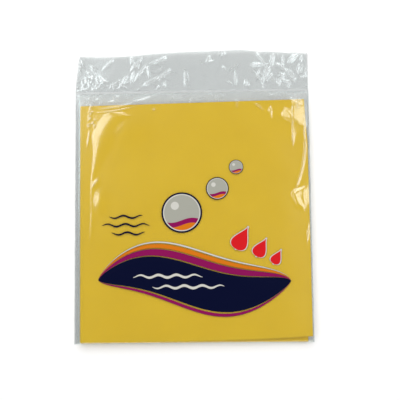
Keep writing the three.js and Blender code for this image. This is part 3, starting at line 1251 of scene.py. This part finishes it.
    def foot(self) -> bpy.types.Object:
        """Builds the fold round the foot.

        At each place across, the film comes in along the table, turns up round two quarter circles and goes back over
        the cloth. Their radius is the fold's own, or a share of the height where the film is too low for it.

        Returns:
            The piece.
        """
        x = self.columns()
        low = SIZES.film / 2
        high = self.film_height(self.share_up(x))
        inside = SIZES.leaf + SIZES.leaf_gap / 2 + SIZES.seat_gap
        radius = np.minimum(inside + SIZES.film - low, self.fold_rise_share * (high - low))[:, None]
        angle = np.linspace(0, math.pi / 2, self.fold_steps + 1)
        start = np.zeros((len(x), 1))
        y = np.concatenate([start + self.seam - SIZES.foot, low + radius * (1 - np.sin(angle))], axis=1)
        rise = np.concatenate([start, radius * (1 - np.cos(angle))], axis=1)
        y = SIZES.foot + np.concatenate([y, y[:, ::-1]], axis=1)
        z = np.concatenate([low + rise, high[:, None] - rise[:, ::-1]], axis=1)
        return self.film("film_bottom_fold", "bottom_fold", Patch.grid(x[:, None], y, z))

    def side_weld(self, side: Side) -> bpy.types.Object:
        """Builds the weld down one side: a bead of melted film, whose outer edge strays and is rounded down.

        With s the share across it, it is (edge + swell * sin(pi * t)) * (1 - rounding * s^power) times two plies thick.

        Args:
            side: which one.

        Returns:
            The piece.
        """
        edge, swell = self.bead
        growth, start = self.bead_run
        rounding, power = self.rounding
        across, along = np.linspace(0, 1, self.bead_steps + 1), spaced([SIZES.foot, SIZES.weld_foot], [self.weld_step])
        s, py = np.meshgrid(across, along, indexing="ij")
        wander = self.wander * ripple(py, length=0.011, start=side.value) * ripple(py, length=0.0043)
        px = side.value * (SIZES.pocket_width / 2 + SIZES.side_weld * s) + side.value * wander * s
        bead = SIZES.plies * (edge + swell * np.sin(math.pi * np.clip(s * growth - start, 0, 1)))
        top = Patch.grid(px, py, bead * (1 - rounding * s ** power))
        name = side.name.lower()
        return self.weld(f"weld_{name}", f"side_weld_{name}", top)

    def closing_weld(self) -> bpy.types.Object:
        """Builds the band that shuts the pocket: the jaws' ribs run along it, and it shrank here and there.

        Returns:
            The piece.
        """
        along = spaced([-SIZES.bag_half, SIZES.bag_half], [self.weld_step])
        px, s = np.meshgrid(along, np.linspace(0, 1, self.ribs * self.rib_steps + 1), indexing="ij")
        pucker = self.pucker * ripple(px, length=0.0061) * ripple(px, length=0.0173, start=0.5)
        swell = self.weld_swell * (1 + ripple(px, length=0.0047, start=3 * ripple(px, length=0.03)))
        py = SIZES.weld_foot + SIZES.closing_weld * s + pucker * np.sin(math.pi * s)
        pz = SIZES.plies - self.rib * np.sin(self.ribs * math.pi * s) ** 2 + swell * np.sin(math.pi * s)
        return self.weld("weld_closing", "closing_weld", Patch.grid(px, py, pz))

    def build(self) -> None:
        """Builds every piece of the pocket."""
        sides = (self.side_weld(side) for side in Side)
        for piece in (self.front(), self.back(), self.foot(), *sides, self.closing_weld()):
            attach(piece, Body.POCKET.value)


@dataclass(frozen=True)
class Header(BagPart):
    """The header: two plies with the hang tab cut into both, and a weld down each side."""

    tab_foot: float = 1.1 * MM  # from the header's foot to the hang tab's
    tab_width: float = 30.0 * MM  # the tab's width
    tab_height: float = 18.5 * MM  # its height
    tab_corner: float = 5.0 * MM  # the radius of its upper corners
    tab_shift: float = 10.5 * MM  # how far to the right of the middle it lies
    cut: float = 0.04 * MM  # how far the die cut round it gapes
    block: float = 19.0 * MM  # half the width of the middle block of the mesh, which holds the tab
    lip: float = 0.4 * MM  # how much shorter the front ply is
    step: float = 0.5 * MM  # the step of the mesh
    bend: float = 3.4 * MM  # the film bends over this length past the closing weld when the header folds
    curl: float = 0.8 * MM  # how far the header's top edge lifts off the table
    # the least share of that, and how much more of it there is in some places
    curl_varies: tuple[float, float] = (0.75, 0.25)
    curl_at: float = 0.122  # the height on the pack, in the row frame, where the curl is full
    reach_in: float = 14 * MM  # how far from the closing weld the swell has its full height
    weld_fade: float = 1.8 * MM  # how far from the closing weld the creases fade out
    calm: float = 0.15  # the share of the creases that is left on the tab
    calm_inset: float = 4.0 * MM  # how far inside its left edge the tab is calm
    calm_fade: float = 2 * MM  # how far round the calm place the creases grow back
    # places along the top edge, as X and Y in millimetres
    crown: tuple[tuple[float, float], ...] = (
        (-97, 122.1), (-87, 121.6), (-73, 121.1), (-60, 121.7), (-46, 122.5), (-32, 123.6), (-11, 124.4), (16, 124.9),
        (30, 125.3), (44, 125.6), (52, 124.8), (58, 123.6), (64, 123.9), (71, 123.4), (78, 122.7), (92, 122.2),
        (99, 121.5),
    )
    crown_steps: int = 400  # how many places the smooth curve through them has
    crown_reach: int = 8  # how many of its places to either side are taken into the mean at each
    draw_in: tuple[float, float] = (3.1 * MM, 0.1 * MM)  # how far the left and right edges are drawn in at the top
    draw_power: float = 1.3  # the power of the share of the height by which they are
    drawn_at: float = 0.121  # the height on the pack, in the row frame, where they are drawn in fully
    beyond: float = 1.1  # the largest share of the height that counts, for the highest part of the crown
    corner_steps: int = 9  # steps of the mesh across each round corner of the tab
    arc_steps: int = 32  # steps round a corner from which the even ones along the cut are taken
    tab_steps: int = 30  # steps up the tab
    ring_steps: int = 18  # steps from the cut to the border of the middle block
    # how many steps run up a ply and how long they are against each other, from its foot
    row_steps: tuple[tuple[int, float], ...] = ((14, 0.5), (40, 1.0))
    weld_steps: tuple[int, int] = (38, 5)  # steps along and across a side weld
    # how much a side weld's outer edge is rounded down, and the power by which it is
    rounding: tuple[float, int] = (0.3, 6)

    @property
    def foot(self) -> float:
        """Where the plies leave the closing weld, in the row frame."""
        return SIZES.weld_head

    def head(self, x: Array) -> Array:
        """The height of the top edge across the pack: a smooth curve through the places that crown gives.

        Args:
            x: the places across.

        Returns:
            The height at each, in the row frame.
        """
        marks = np.array(self.crown) * MM
        fine = np.linspace(marks[0, 0], marks[-1, 0], self.crown_steps)
        padded = np.pad(np.interp(fine, marks[:, 0], marks[:, 1]), self.crown_reach, mode="edge")
        weight = np.hanning(2 * self.crown_reach + 1)
        return np.interp(x, fine, np.convolve(padded, weight / weight.sum(), mode="valid"))

    def share_up(self, y: Array, full: float) -> Array:
        """The share of the way from the closing weld to the height where something is full, held at beyond."""
        return np.clip((y - self.foot) / (full - self.foot), 0, self.beyond)

    def half_width(self, y: Array, side: Side) -> Array:
        """Half the header's width at a height, where it is drawn in towards the top by a power of the share."""
        share = self.share_up(y, self.drawn_at)
        return SIZES.bag_half - self.draw_in[0 if side is Side.LEFT else 1] * share ** self.draw_power

    @property
    def tab_box(self) -> tuple[float, float, float, float]:
        """The tab's left, foot, right and head, in the row frame.

        Returns:
            The four, in metres.
        """
        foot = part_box("header_front_ply")[0].y + self.tab_foot
        left = self.tab_shift - self.tab_width / 2
        return left, foot, left + self.tab_width, foot + self.tab_height

    def tab_columns(self) -> Array:
        """The mesh's places across the tab, closer together in its round corners: left + radius * (1 - cos angle).

        Returns:
            X of each, in the row frame.
        """
        left, _, right, _ = self.tab_box
        radius = self.tab_corner - self.cut
        corner = radius * (1 - np.cos(np.linspace(0, math.pi / 2, self.corner_steps + 1)))[:-1] + self.cut
        straight = spaced([left + self.tab_corner, right - self.tab_corner], [self.step])
        return np.concatenate([left + corner, straight, right - corner[::-1]])

    def tab_edge(self, sides: int, top: int) -> Array:
        """The outer edge of the die cut, anticlockwise from its right foot, at even steps.

        It runs straight up, round a quarter circle, straight across, round another and straight down.

        Args:
            sides: steps from each foot to the middle of its corner.
            top: steps between the middles of the corners.

        Returns:
            X and Y of each point, without the last one at the left foot.
        """
        left, foot, right, head = self.tab_box
        angle = np.linspace(0, math.pi / 2, self.arc_steps + 1)
        turn = self.tab_corner * np.stack([np.cos(angle), np.sin(angle)], axis=-1)
        centre_y = head - self.tab_corner
        dense = np.concatenate([
            [[right, foot]], turn + [right - self.tab_corner, centre_y],
            turn[::-1] * [-1, 1] + [left + self.tab_corner, centre_y], [[left, foot]],
        ])
        run = np.concatenate([[0.0], np.cumsum(np.hypot(*np.diff(dense, axis=0).T))])
        corner = centre_y - foot + self.tab_corner * math.pi / 4
        even = np.concatenate([
            np.linspace(0, corner, sides + 1)[:-1], np.linspace(corner, run[-1] - corner, top + 1)[:-1],
            np.linspace(run[-1] - corner, run[-1], sides + 1)[:-1],
        ])
        return np.stack([np.interp(even, run, dense[:, k]) for k in range(2)], axis=-1)

    def tab(self) -> Array:
        """The tab's own grid: at each place across, even steps from its foot to its top edge.

        The top edge is level, and in the corners at centre + sqrt(radius^2 - distance^2).

        Returns:
            X and Y of each point, in columns.
        """
        _, foot, _, head = self.tab_box
        x = self.tab_columns()
        out = np.maximum(np.abs(x - self.tab_shift) - (self.tab_width / 2 - self.tab_corner), 0)
        radius = self.tab_corner - self.cut
        top = head - self.tab_corner + np.sqrt(np.maximum(radius ** 2 - out ** 2, 0))
        t = np.linspace(0, 1, self.tab_steps + 1)
        return np.stack(np.broadcast_arrays(x[:, None], foot + t * (top[:, None] - foot)), axis=-1)

    def outline(self, lip: float) -> Patch:
        """One ply, flat, with the tab cut into it.

        Its left and right blocks are grids whose rows run from the foot to the top edge. Its middle block is a ring of
        quads, the straight lines from each point of the cut to a point of the block's border. The tab is a grid that
        joins the ring at its foot only.

        Args:
            lip: how much shorter than the longer ply it is.

        Returns:
            The flat patch, with its border and the cut as its rims.
        """
        rows = np.cumsum(np.concatenate([[0.0], *(np.full(count, size) for count, size in self.row_steps)]))
        rows /= rows[-1]
        inner = SIZES.side_weld

        def place(s: Array, t: Array, side: Side | None) -> Array:
            """A flat point of a block.

            Args:
                s: the share of its width, from the border.
                t: the share of its height.
                side: the block, or None for the middle one.

            Returns:
                X and Y.
            """
            if side is None:
                px = self.tab_shift + self.block * (2 * s - 1)
                py = self.foot + t * (self.head(px) - lip - self.foot)
                return np.stack([px, py], axis=-1)
            border = self.tab_shift + side.value * self.block
            edge = side.value * (SIZES.bag_half - inner)
            guess = edge + (border - edge) * s
            py = self.foot + t * (self.head(guess) - lip - self.foot)
            edge = side.value * (self.half_width(py, side) - inner)
            return np.stack([edge + (border - edge) * s, py], axis=-1)

        across = spaced([0.0, 1.0], [self.step / (SIZES.bag_half - self.block)])
        s, t = np.meshgrid(across, rows, indexing="ij")
        left, right = place(s, t, Side.LEFT), place(s[::-1], t, Side.RIGHT)
        tab = self.tab()
        foot_row = np.concatenate([[[self.tab_box[0], self.tab_box[1]]], tab[:, 0]])
        flat = np.linspace(0, 1, len(foot_row) + 1)
        border = np.concatenate([
            place(flat[:-1], 0 * flat[:-1], None), place(0 * rows[:-1] + 1, rows[:-1], None),
            place(flat[:0:-1], 0 * flat[:0:-1] + 1, None), place(0 * rows[:0:-1], rows[:0:-1], None),
        ])
        edge = np.concatenate([foot_row, self.tab_edge(len(rows) - 1, len(foot_row))])
        u = np.linspace(0, 1, self.ring_steps + 1)[:, None, None]
        return self.joined([left, right, tab], edge * (1 - u) + border * u)

    def joined(self, blocks: Sequence[Array], ring: Array) -> Patch:
        """One flat patch from grids and the ring between them.

        Args:
            blocks: the left and right blocks, whose inner columns are on the ring's border, and the tab.
            ring: the middle block, from the cut outwards.

        Returns:
            The patch, with shared points merged.
        """
        rings, around = ring.shape[:2]
        at = np.arange(rings * around).reshape(rings, around)
        after = np.roll(at, -1, axis=1)
        parts = [(ring.reshape(-1, 2), np.stack([at[:-1], at[1:], after[1:], after[:-1]], axis=-1).reshape(-1, 4))]
        for block in blocks:
            grid = Patch.grid(block[..., 0], block[..., 1], 0.0)
            parts.append((grid.points[:, :2], grid.quads))
        starts = np.cumsum([0, *(len(part) for part, _ in parts)])
        return welded(
            np.concatenate([part for part, _ in parts]),
            np.concatenate([faces + start for (_, faces), start in zip(parts, starts)]),
        )

    def lift(self, x: Array, y: Array, follow: float = 1.0) -> tuple[Array, Array]:
        """How far the header stands off the table.

        It curls up by the square of the share of its height, more in some places than in others. Its creases fade out
        next to the closing weld, and on the tab, which the cut keeps out of the pull of the film round it.

        Args:
            x: where the points are across the pack.
            y: where they are along it.
            follow: how much of the creases the film takes.

        Returns:
            The height, and how near a ridge is, from 0 to 1.
        """
        least, more = self.curl_varies
        curl = self.curl * self.share_up(y, self.curl_at) ** 2 * (least + more * ripple(x, length=0.027, start=0.8))
        raised, ridge = self.relief.folds(x, y)
        left, foot, right, head = self.tab_box
        calm_left = left + self.calm_inset
        off = np.hypot(
            np.maximum(np.abs(x - (calm_left + right) / 2) - (right - calm_left) / 2, 0),
            np.maximum(np.abs(y - (foot + head) / 2) - (head - foot) / 2, 0),
        )
        calmed = self.calm + (1 - self.calm) * smooth_step(off / self.calm_fade)
        fade = smooth_step((y - self.foot) / self.weld_fade) * calmed
        swell = self.relief.waves(x, y) * smooth_step((y - self.foot) / self.reach_in)
        return curl + swell + follow * raised * fade, follow * ridge * fade

    def bent(self, made: bpy.types.Object) -> bpy.types.Object:
        """Bakes a piece's place into its mesh. Where the film would bend, just past the closing weld, is worked out but
        not used.
        """
        start, end = ((0.0, y, SIZES.plies / 2) for y in (self.foot, self.foot + self.bend))
        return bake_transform(made)

    def ply(self, side: str, lip: float, rest: float, follow: float) -> bpy.types.Object:
        """Builds one ply.

        Args:
            side: front or back.
            lip: how much shorter than the longer ply it is.
            rest: the height of its middle where it lies flat.
            follow: how much of the creases it takes.

        Returns:
            The piece.
        """
        flat = self.outline(lip)
        x, y = flat.points[:, 0], flat.points[:, 1]
        raised, ridge = self.lift(x, y, follow)
        middle = Patch(np.stack([x, y, rest + raised], axis=-1), flat.quads, flat.rims)
        return self.film(f"film_header_{side}", f"header_{side}_ply", middle, ridge)

    def side_weld(self, side: Side) -> bpy.types.Object:
        """Builds the weld down one side of the header, which lifts with the plies.

        Args:
            side: which one.

        Returns:
            The piece.
        """
        along, across = self.weld_steps
        rounding, power = self.rounding
        s, share = np.meshgrid(np.linspace(0, 1, across + 1), np.linspace(0, 1, along + 1), indexing="ij")
        edge = self.head(np.array([side.value * SIZES.bag_half]))[0]
        py = self.foot + share * (edge - self.foot)
        px = side.value * (self.half_width(py, side) - SIZES.side_weld * (1 - s))
        raised, _ = self.lift(px, py)
        top = Patch.grid(px, py, raised + SIZES.plies * (1 - rounding * s ** power))
        name = side.name.lower()
        return self.weld(f"weld_header_{name}", f"header_weld_{name}", top, raised)

    def build(self) -> None:
        """Builds every piece of the header."""
        low = SIZES.film / 2
        plies = (
            self.ply("back", lip=0.0, rest=low, follow=0.25),
            self.ply("front", lip=self.lip, rest=low + SIZES.film + SIZES.ply_gap, follow=1.0),
        )
        for piece in (*plies, *(self.side_weld(side) for side in Side)):
            self.bent(piece)


def welded(points: Array, quads: Index) -> Patch:
    """A flat patch with its doubled points merged and its rims found.

    Args:
        points: X and Y of each point.
        quads: its faces.

    Returns:
        The patch, anticlockwise, with Z at 0.
    """
    keys = np.round(points / SAME).astype(np.int64)
    _, first, place = np.unique(keys, axis=0, return_index=True, return_inverse=True)
    flat = np.concatenate([points[first], np.zeros((len(first), 1))], axis=1)
    faces = place.ravel()[quads]
    a, b, c, d = (flat[faces[:, k]] for k in range(4))
    clockwise = np.cross(c - a, d - b)[:, 2] < 0
    faces[clockwise] = faces[clockwise][:, ::-1]
    edges = np.concatenate([faces[:, [k, (k + 1) % 4]] for k in range(4)])
    code = edges[:, 0] * len(flat) + edges[:, 1]
    lone = edges[~np.isin(code, edges[:, 1] * len(flat) + edges[:, 0])]
    following = dict(lone.tolist())
    rims = []
    while following:
        start, point = following.popitem()
        loop = [start]
        while point != start:
            loop.append(point)
            point = following.pop(point)
        rims.append(np.array(loop))
    return Patch(flat, faces, rims)


def tents(*rows: tuple[float, ...]) -> list[Crease]:
    """Creases from rows: X and Y of both ends, height, left and right, then bow, rise and fall where they differ."""
    return [Crease(row[:2], row[2:4], *row[4:]) for row in rows]


# The facets and creases of this pack, in millimetres.
LEFT_RAMP = Ramp((
    (-44, -86.8, -86.8), (-36, -86.5, -85.9), (-18, -86.0, -84.9), (7, -86.1, -85.0), (13, -85.8, -84.6),
    (19, -85.2, -84.0), (24, -84.6, -83.0), (31, -84.0, -81.8), (36, -83.8, -81.0), (43.4, -84.0, -79.6),
    (52, -85.1, -78.6), (55.5, -83.8, -77.6), (62, -80.2, -73.2), (68, -76.4, -68.6), (71, -74.4, -69.0),
    (74, -72.4, -72.4),
))
LEFT_BLISTER = Blister((-77.7, -5.0), (4.8, 8.4), 0.72)
HEAD_BLISTER = Blister((-56, 58), (16, 14), 0.8)
RIGHT_FACETS = Facets(
    corners=(
        (86, 79.5, 0.5), (85.7, 74.6, 2.7), (86.1, 63.4, 2.4), (94.6, 74.5, 1), (94.3, 57, 0.5),
        (86.6, 61.9, 0.3), (94.2, 56, 0), (85.7, 40, 0), (75, 66.3, 0), (79, 73.2, 0.8), (84, 61.3, 1.7),
        (85.75, 75.5, 0.2), (85.8, 70, 0.6), (85.6, 59.6, 0), (97.4, 76, 0), (97.4, 56, 0), (93, 81, 0),
        (83, 80, 0), (88.2, 50, 0), (85, 50, 0), (76, 64.6, 0),
    ),
    faces=(
        (1, 2, 3), (2, 4, 3), (2, 5, 4), (5, 6, 4), (8, 10, 2), (8, 2, 9), (9, 2, 12), (12, 2, 1), (12, 1, 11),
        (8, 20, 10), (20, 13, 10), (10, 13, 5), (10, 5, 2), (0, 1, 3), (0, 3, 16), (3, 14, 16), (3, 4, 15),
        (3, 15, 14), (4, 6, 15), (0, 11, 1), (17, 11, 0), (5, 7, 18), (5, 18, 6), (13, 19, 5), (5, 19, 7),
    ),
)
RIGHT_LOW_FACETS = Facets(
    corners=(
        (84.6, 0.6, 2), (88.2, -9, 1.2), (93.8, -13.6, 0.1), (94.6, -11, 0), (89.7, -2.2, 1), (82.6, -2.5, 0),
        (86.3, -11, 0), (93.3, -15.2, 0), (93.3, 3.8, 1.1), (93.6, -8.6, 0.6), (95.2, 3.6, 0.6),
        (95.3, -9.5, 0.1), (85.5, 2.6, 0), (94, 6.6, 0), (97.6, 5, 0), (97.6, -10, 0), (83.3, 1.5, 0),
    ),
    faces=(
        (0, 1, 4), (1, 3, 4), (1, 2, 3), (0, 5, 1), (5, 6, 1), (1, 6, 2), (6, 7, 2), (4, 3, 9), (4, 9, 8),
        (8, 9, 10), (9, 11, 10), (9, 3, 11), (0, 4, 8), (0, 8, 12), (12, 8, 13), (8, 10, 13), (10, 14, 13),
        (10, 11, 15), (10, 15, 14), (0, 12, 16), (0, 16, 5), (3, 2, 11), (11, 2, 15),
    ),
)
POCKET_CREASES = [
    LEFT_RAMP, LEFT_BLISTER, HEAD_BLISTER, RIGHT_FACETS, RIGHT_LOW_FACETS, *tents(
        (85.3, 76, 84.9, 39, 0.42, 1.8, 0.6, 0, 0.05, 0.2), (-81, 71.5, -44, 78, 0.7, 1.5, 1.5, -1.6, 0.2, 0.4),
        (-80, 74.5, -38, 84, 0.8, 1.6, 1.5, -2.6, 0.2, 0.4), (-85.5, 6.5, -78.0, 15.5, 0.56, 2.2, 4.0),
        (-86.2, 58.3, -88.9, 40.3, 0.26, 1.1, 1.1), (95.6, 76, 94.6, 42, 0.42, 0.9, 1.6, 0, 0.1, 0.2),
        (95.2, 50, 84.6, 0.4, 0.5, 0.9, 2.1, 3.4, 0.15, 0.2), (97, -22, 94.5, -44, 0.6, 1.3, 1.3, 0, 0.5, 0.5),
        (67, 76, 67.5, 63, 0.7, 1.3, 3.0, 0, 0.3, 0.6), (53, 78, 62, 70.5, 0.45, 1.3, 1.3, 0, 0.3, 0.4),
        (38, 82, 38.5, 73, 0.5, 2.4, 2.4, 0, 0.2, 0.8), (-33, 76, -31, 71, 0.3, 1.8, 1.8, 0, 0.5, 0.5),
        (-55, 79.5, -30, 88, 1.0, 2.2, 1.8), (-21, 91, -12, 83.5, 1.0, 2.0, 3.0, 0, 0.2, 0.4),
        (-17, 79, -14.5, 86, 0.7, 1.5, 1.8, 0, 0.4, 0.4), (-69, 86, -58, 89, 1.2, 2.4, 2.0, 0, 0.4, 0.4),
    ),
]
POCKET_CRINKLES = [
    Crinkles((-85.6, 70), (1.5, 6.0), 18, 5.0, 0.42, 0.9),
    Crinkles((-86, 84), (5.0, 2.4), 20, 6.0, 0.6, 1.2),
    Crinkles((-64, 85), (6.0, 2.4), 10, 8.0, 0.6, 1.6),
    Crinkles((83, 85), (9.0, 2.4), 22, 8.0, 0.55, 1.5),
    Crinkles((90, 77), (3.0, 3.0), 8, 7.0, 0.6, 1.5),
    Crinkles((20, 85), (38.0, 2.0), 12, 9.0, 0.25, 2.0),
]
HEADER_CREASES = tents(
    (-77, 109.5, -65, 120, 0.8, 1.6, 1.6), (-51.5, 121, -51.5, 114, 0.7, 1.1, 1.1, 0, 0.1, 0.2),
    (-79.5, 106, -74, 96, 1.0, 2.0, 1.4, 0, 0.5), (-61, 94, -53, 106, 0.7, 2.4, 1.8, 0.8),
    (-52, 96, -48, 110, 0.7, 1.3, 1.3, 0.8), (-50, 97, -36, 117, 0.9, 1.4, 1.6, 0.8),
    (-53, 107, -40, 121, 0.7, 1.8, 1.5, 0.8), (-43, 94.5, -25, 103, 1.2, 1.8, 2.2, 0.6, 0.25, 0.2),
    (-30, 101, -17, 111.5, 1.2, 1.8, 2.0, -1.0), (-38, 114.5, -20, 121, 1.2, 1.7, 2.4, -0.9, 0.4, 0.25),
    (-39, 116, -36, 100, 0.6, 1.3, 1.3, 0.7), (-22, 101, -23.5, 92, 0.7, 1.2, 1.2, 0, 0.4, 0.5),
    (-38, 95.5, -25, 100.5, 0.7, 1.0, 1.0), (-6.0, 108.5, -6.1, 93.2, 0.42, 1.0, 1.0, 0.4, 0.2, 0.2),
    (-3, 107.5, -1.4, 93.6, 0.34, 0.9, 0.9, 0.5, 0.2), (11.5, 116, 22, 116.3, 0.9, 1.0, 1.2, 0, 0.2, 0.6),
    (16.5, 121.5, 13, 114.5, 0.9, 1.6, 1.8, 0, 0.3, 0.2), (29.5, 124, 25, 119, 0.5, 1.4, 1.4, 0, 0.2, 0.6),
    (37.8, 111, 37.8, 93.5, 1.0, 1.5, 1.5, 0, 0.6), (24.5, 113, 30, 107.5, 0.45, 1.4, 1.4),
    (30, 99, 36, 94.5, 0.4, 1.3, 1.3), (46.5, 101, 45.5, 93, 0.5, 1.2, 1.2), (48.5, 99, 49, 93.5, 0.4, 1.1, 1.1),
    (50, 112, 68, 112.5, 1.4, 1.8, 2.4, 0, 0.15, 0.5), (55.5, 123, 64, 111, 1.3, 1.8, 1.8, 0, 0.2),
    (70.5, 122, 68.5, 110, 1.2, 1.9, 2.3, 0, 0.2), (64.5, 112, 59.5, 94, 1.3, 1.4, 1.7, 0.7, 0.2),
    (68, 111, 62.5, 97, 1.2, 1.4, 1.4, -0.6, 0.2, 0.4), (71, 114, 82, 105, 1.0, 1.7, 1.7, 0.6),
    (79.5, 109, 89, 98, 1.5, 2.6, 2.2, 0, 0.25, 0.4), (82, 112.5, 91, 121, 1.3, 2.6, 2.0),
    (93, 113, 90, 106, 0.9, 1.3, 1.3), (54, 105, 61, 96, 0.9, 1.4, 1.4, 0.8), (72, 95, 81, 106, 1.0, 1.5, 1.5, -0.6),
    (75, 100, 86.5, 94, 1.0, 1.6, 1.5, 0.4), (74, 92.5, 76.5, 101, 0.8, 1.3, 1.3),
    (95, 120, 93.5, 114, 0.9, 1.6, 1.6), (78, 121, 78, 108, 0.7, 1.2, 1.2, 0.5),
)
HEADER_CRINKLES = [
    Crinkles((-86, 96), (7.0, 4.0), 40, 6.0, 0.40, 1.0),
    Crinkles((-90, 108), (5.0, 6.0), 12, 9.0, 0.28, 1.3),
    Crinkles((-64, 95), (8.0, 2.5), 18, 7.0, 0.36, 1.0),
    Crinkles((-36, 103), (10.0, 6.0), 16, 10.0, 0.34, 1.1),
    Crinkles((74, 104), (10.0, 6.0), 26, 9.0, 0.34, 1.0),
    Crinkles((86, 100), (8.0, 5.0), 22, 8.0, 0.36, 1.0),
    Crinkles((5, 108), (40.0, 9.0), 20, 9.0, 0.14, 1.3),
]


@dataclass(frozen=True)
class SoftBox:
    """A square soft light that faces the pack."""

    name: str  # its name
    azimuth: float  # degrees round from +X
    elevation: float  # degrees above the table
    size: float  # its side, in metres
    power: float  # its power, in watts
    distance: float = 1.15  # how far away it is, in metres

    def build(self) -> None:
        """Makes the light."""
        data = bpy.data.lights.new(self.name, "AREA")
        data.shape, data.size, data.energy = "SQUARE", self.size, self.power
        lamp = bpy.data.objects.new(self.name, data)
        a, e = math.radians(self.azimuth), math.radians(self.elevation)
        out = np.array([math.cos(e) * math.cos(a), math.cos(e) * math.sin(a), math.sin(e)])
        lamp.location = (out * self.distance).tolist()
        lamp.rotation_euler = (math.pi / 2 - e, 0.0, a + math.pi / 2)
        bpy.context.scene.collection.objects.link(lamp)


@dataclass(frozen=True)
class Studio:
    """The pale table, the soft lights and the camera."""

    camera_at: tuple[float, float, float] = (0.0293, -0.1028, 0.8000)  # where the camera is
    camera_turn: tuple[float, float, float] = (7.032, 1.726, -0.583)  # its turn about X, Y and Z, in degrees
    lens: float = 85.91  # its focal length in millimetres
    sensor: float = 36.0  # the width of its sensor in millimetres
    clip: tuple[float, float] = (0.01, 50.0)  # the nearest and the farthest that it sees, in metres
    table: float = 14.0  # the table's side
    table_drop: float = 0.4 * MM  # how far under the pack the table lies
    pale: Colour = (0.97, 0.97, 0.965)  # the table's colour
    # the room's light from straight below to straight above, as the share of that way and the colour
    room: tuple[tuple[float, Colour], ...] = (
        (0.0, (0.30, 0.30, 0.30)), (0.42, (0.40, 0.40, 0.40)), (0.52, (1.0, 1.0, 1.0)), (0.72, (1.0, 1.0, 1.0)),
        (0.88, (0.14, 0.14, 0.15)), (1.0, (0.09, 0.09, 0.10)),
    )
    glow: float = 1.2  # how strong the room's light is
    # the lights
    boxes: tuple[SoftBox, ...] = (
        SoftBox("light_left", 148.0, 57.0, 0.45, 1.92),
        SoftBox("light_right", 8.0, 62.0, 0.45, 1.82),
        SoftBox("light_head", 84.0, 42.0, 0.72, 3.95),
        SoftBox("light_foot", 264.0, 48.0, 0.50, 1.0),
    )

    def floor(self) -> None:
        """The table: one level face under the pack."""
        half = self.table / 2
        mesh = bpy.data.meshes.new("table")
        mesh.from_pydata([(-half, -half, 0), (half, -half, 0), (half, half, 0), (-half, half, 0)], [], [(0, 1, 2, 3)])
        shader = Shader(bpy.data.materials.new("table_paper"))
        mesh.materials.append(shader.finish(shader.node("ShaderNodeBsdfPrincipled", inputs={
            "Base Color": self.pale, "Roughness": 0.9, "Specular IOR Level": 0.1,
        })))
        table = bpy.data.objects.new("table", mesh)
        table.location.z = -self.table_drop
        bpy.context.scene.collection.objects.link(table)

    def sky(self) -> None:
        """The room: dim straight above, pale towards the horizon."""
        shader = Shader(bpy.data.worlds.new("room"))
        up = shader.node("ShaderNodeTexCoord", output="Generated")
        height = Value(shader, shader.node("ShaderNodeSeparateXYZ", inputs={0: up}).socket.node.outputs["Z"])
        light = shader.node("ShaderNodeValToRGB", {"stops": self.room}, {0: height}, "Color")
        lit = shader.node("ShaderNodeBackground", inputs={"Color": light, "Strength": self.glow})
        bpy.context.scene.world = shader.finish(lit)

    def camera(self) -> None:
        """The camera, at the photograph's angle."""
        data = bpy.data.cameras.new("camera")
        data.sensor_width, data.lens = self.sensor, self.lens
        data.clip_start, data.clip_end = self.clip
        made = bpy.data.objects.new("camera", data)
        made.location = self.camera_at
        made.rotation_euler = [math.radians(turn) for turn in self.camera_turn]
        bpy.context.scene.collection.objects.link(made)
        bpy.context.scene.camera = made

    def build(self) -> None:
        """Makes the camera, the room, the table and the lights."""
        self.camera()
        self.sky()
        self.floor()
        for box in self.boxes:
            box.build()
        bpy.context.scene.view_settings.view_transform = "Standard"


def creased(own: Iterable[Form], clusters: Iterable[Crinkles], seed: int) -> list[Form]:
    """A film's own creases and other forms, and the creases of its clusters.

    Args:
        own: the forms that have places of their own.
        clusters: the clusters of small creases.
        seed: where the random numbers start.

    Returns:
        All of them.
    """
    draw = np.random.default_rng(seed)
    return [*own, *(crease for cluster in clusters for crease in cluster.creases(draw))]


def main() -> None:
    """Builds the studio, the cloth and the bag."""
    logging.basicConfig(level=logging.INFO, format="%(name)s %(message)s")
    Studio().build()
    clear = FilmFinish("film_clear").material()
    printed = FilmFinish("film_printed", roughness=0.155, printed=WavePrint()).material()
    fused = FilmFinish("film_fused", clearness=0.900, roughness=0.25, haze=0.02).material()
    FoldedCloth().build()
    over_cloth = Relief(creased(POCKET_CREASES, POCKET_CRINKLES, seed=11), swell=0.35, wavelength=62.0, turn=0.4)
    Pocket(over_cloth, clear=clear, printed=printed, welded=fused).build()
    over_header = Relief(creased(HEADER_CREASES, HEADER_CRINKLES, seed=23), swell=0.5, wavelength=38.0, turn=1.1)
    Header(over_header, clear=clear, welded=fused).build()


if __name__ == "__main__":
    main()
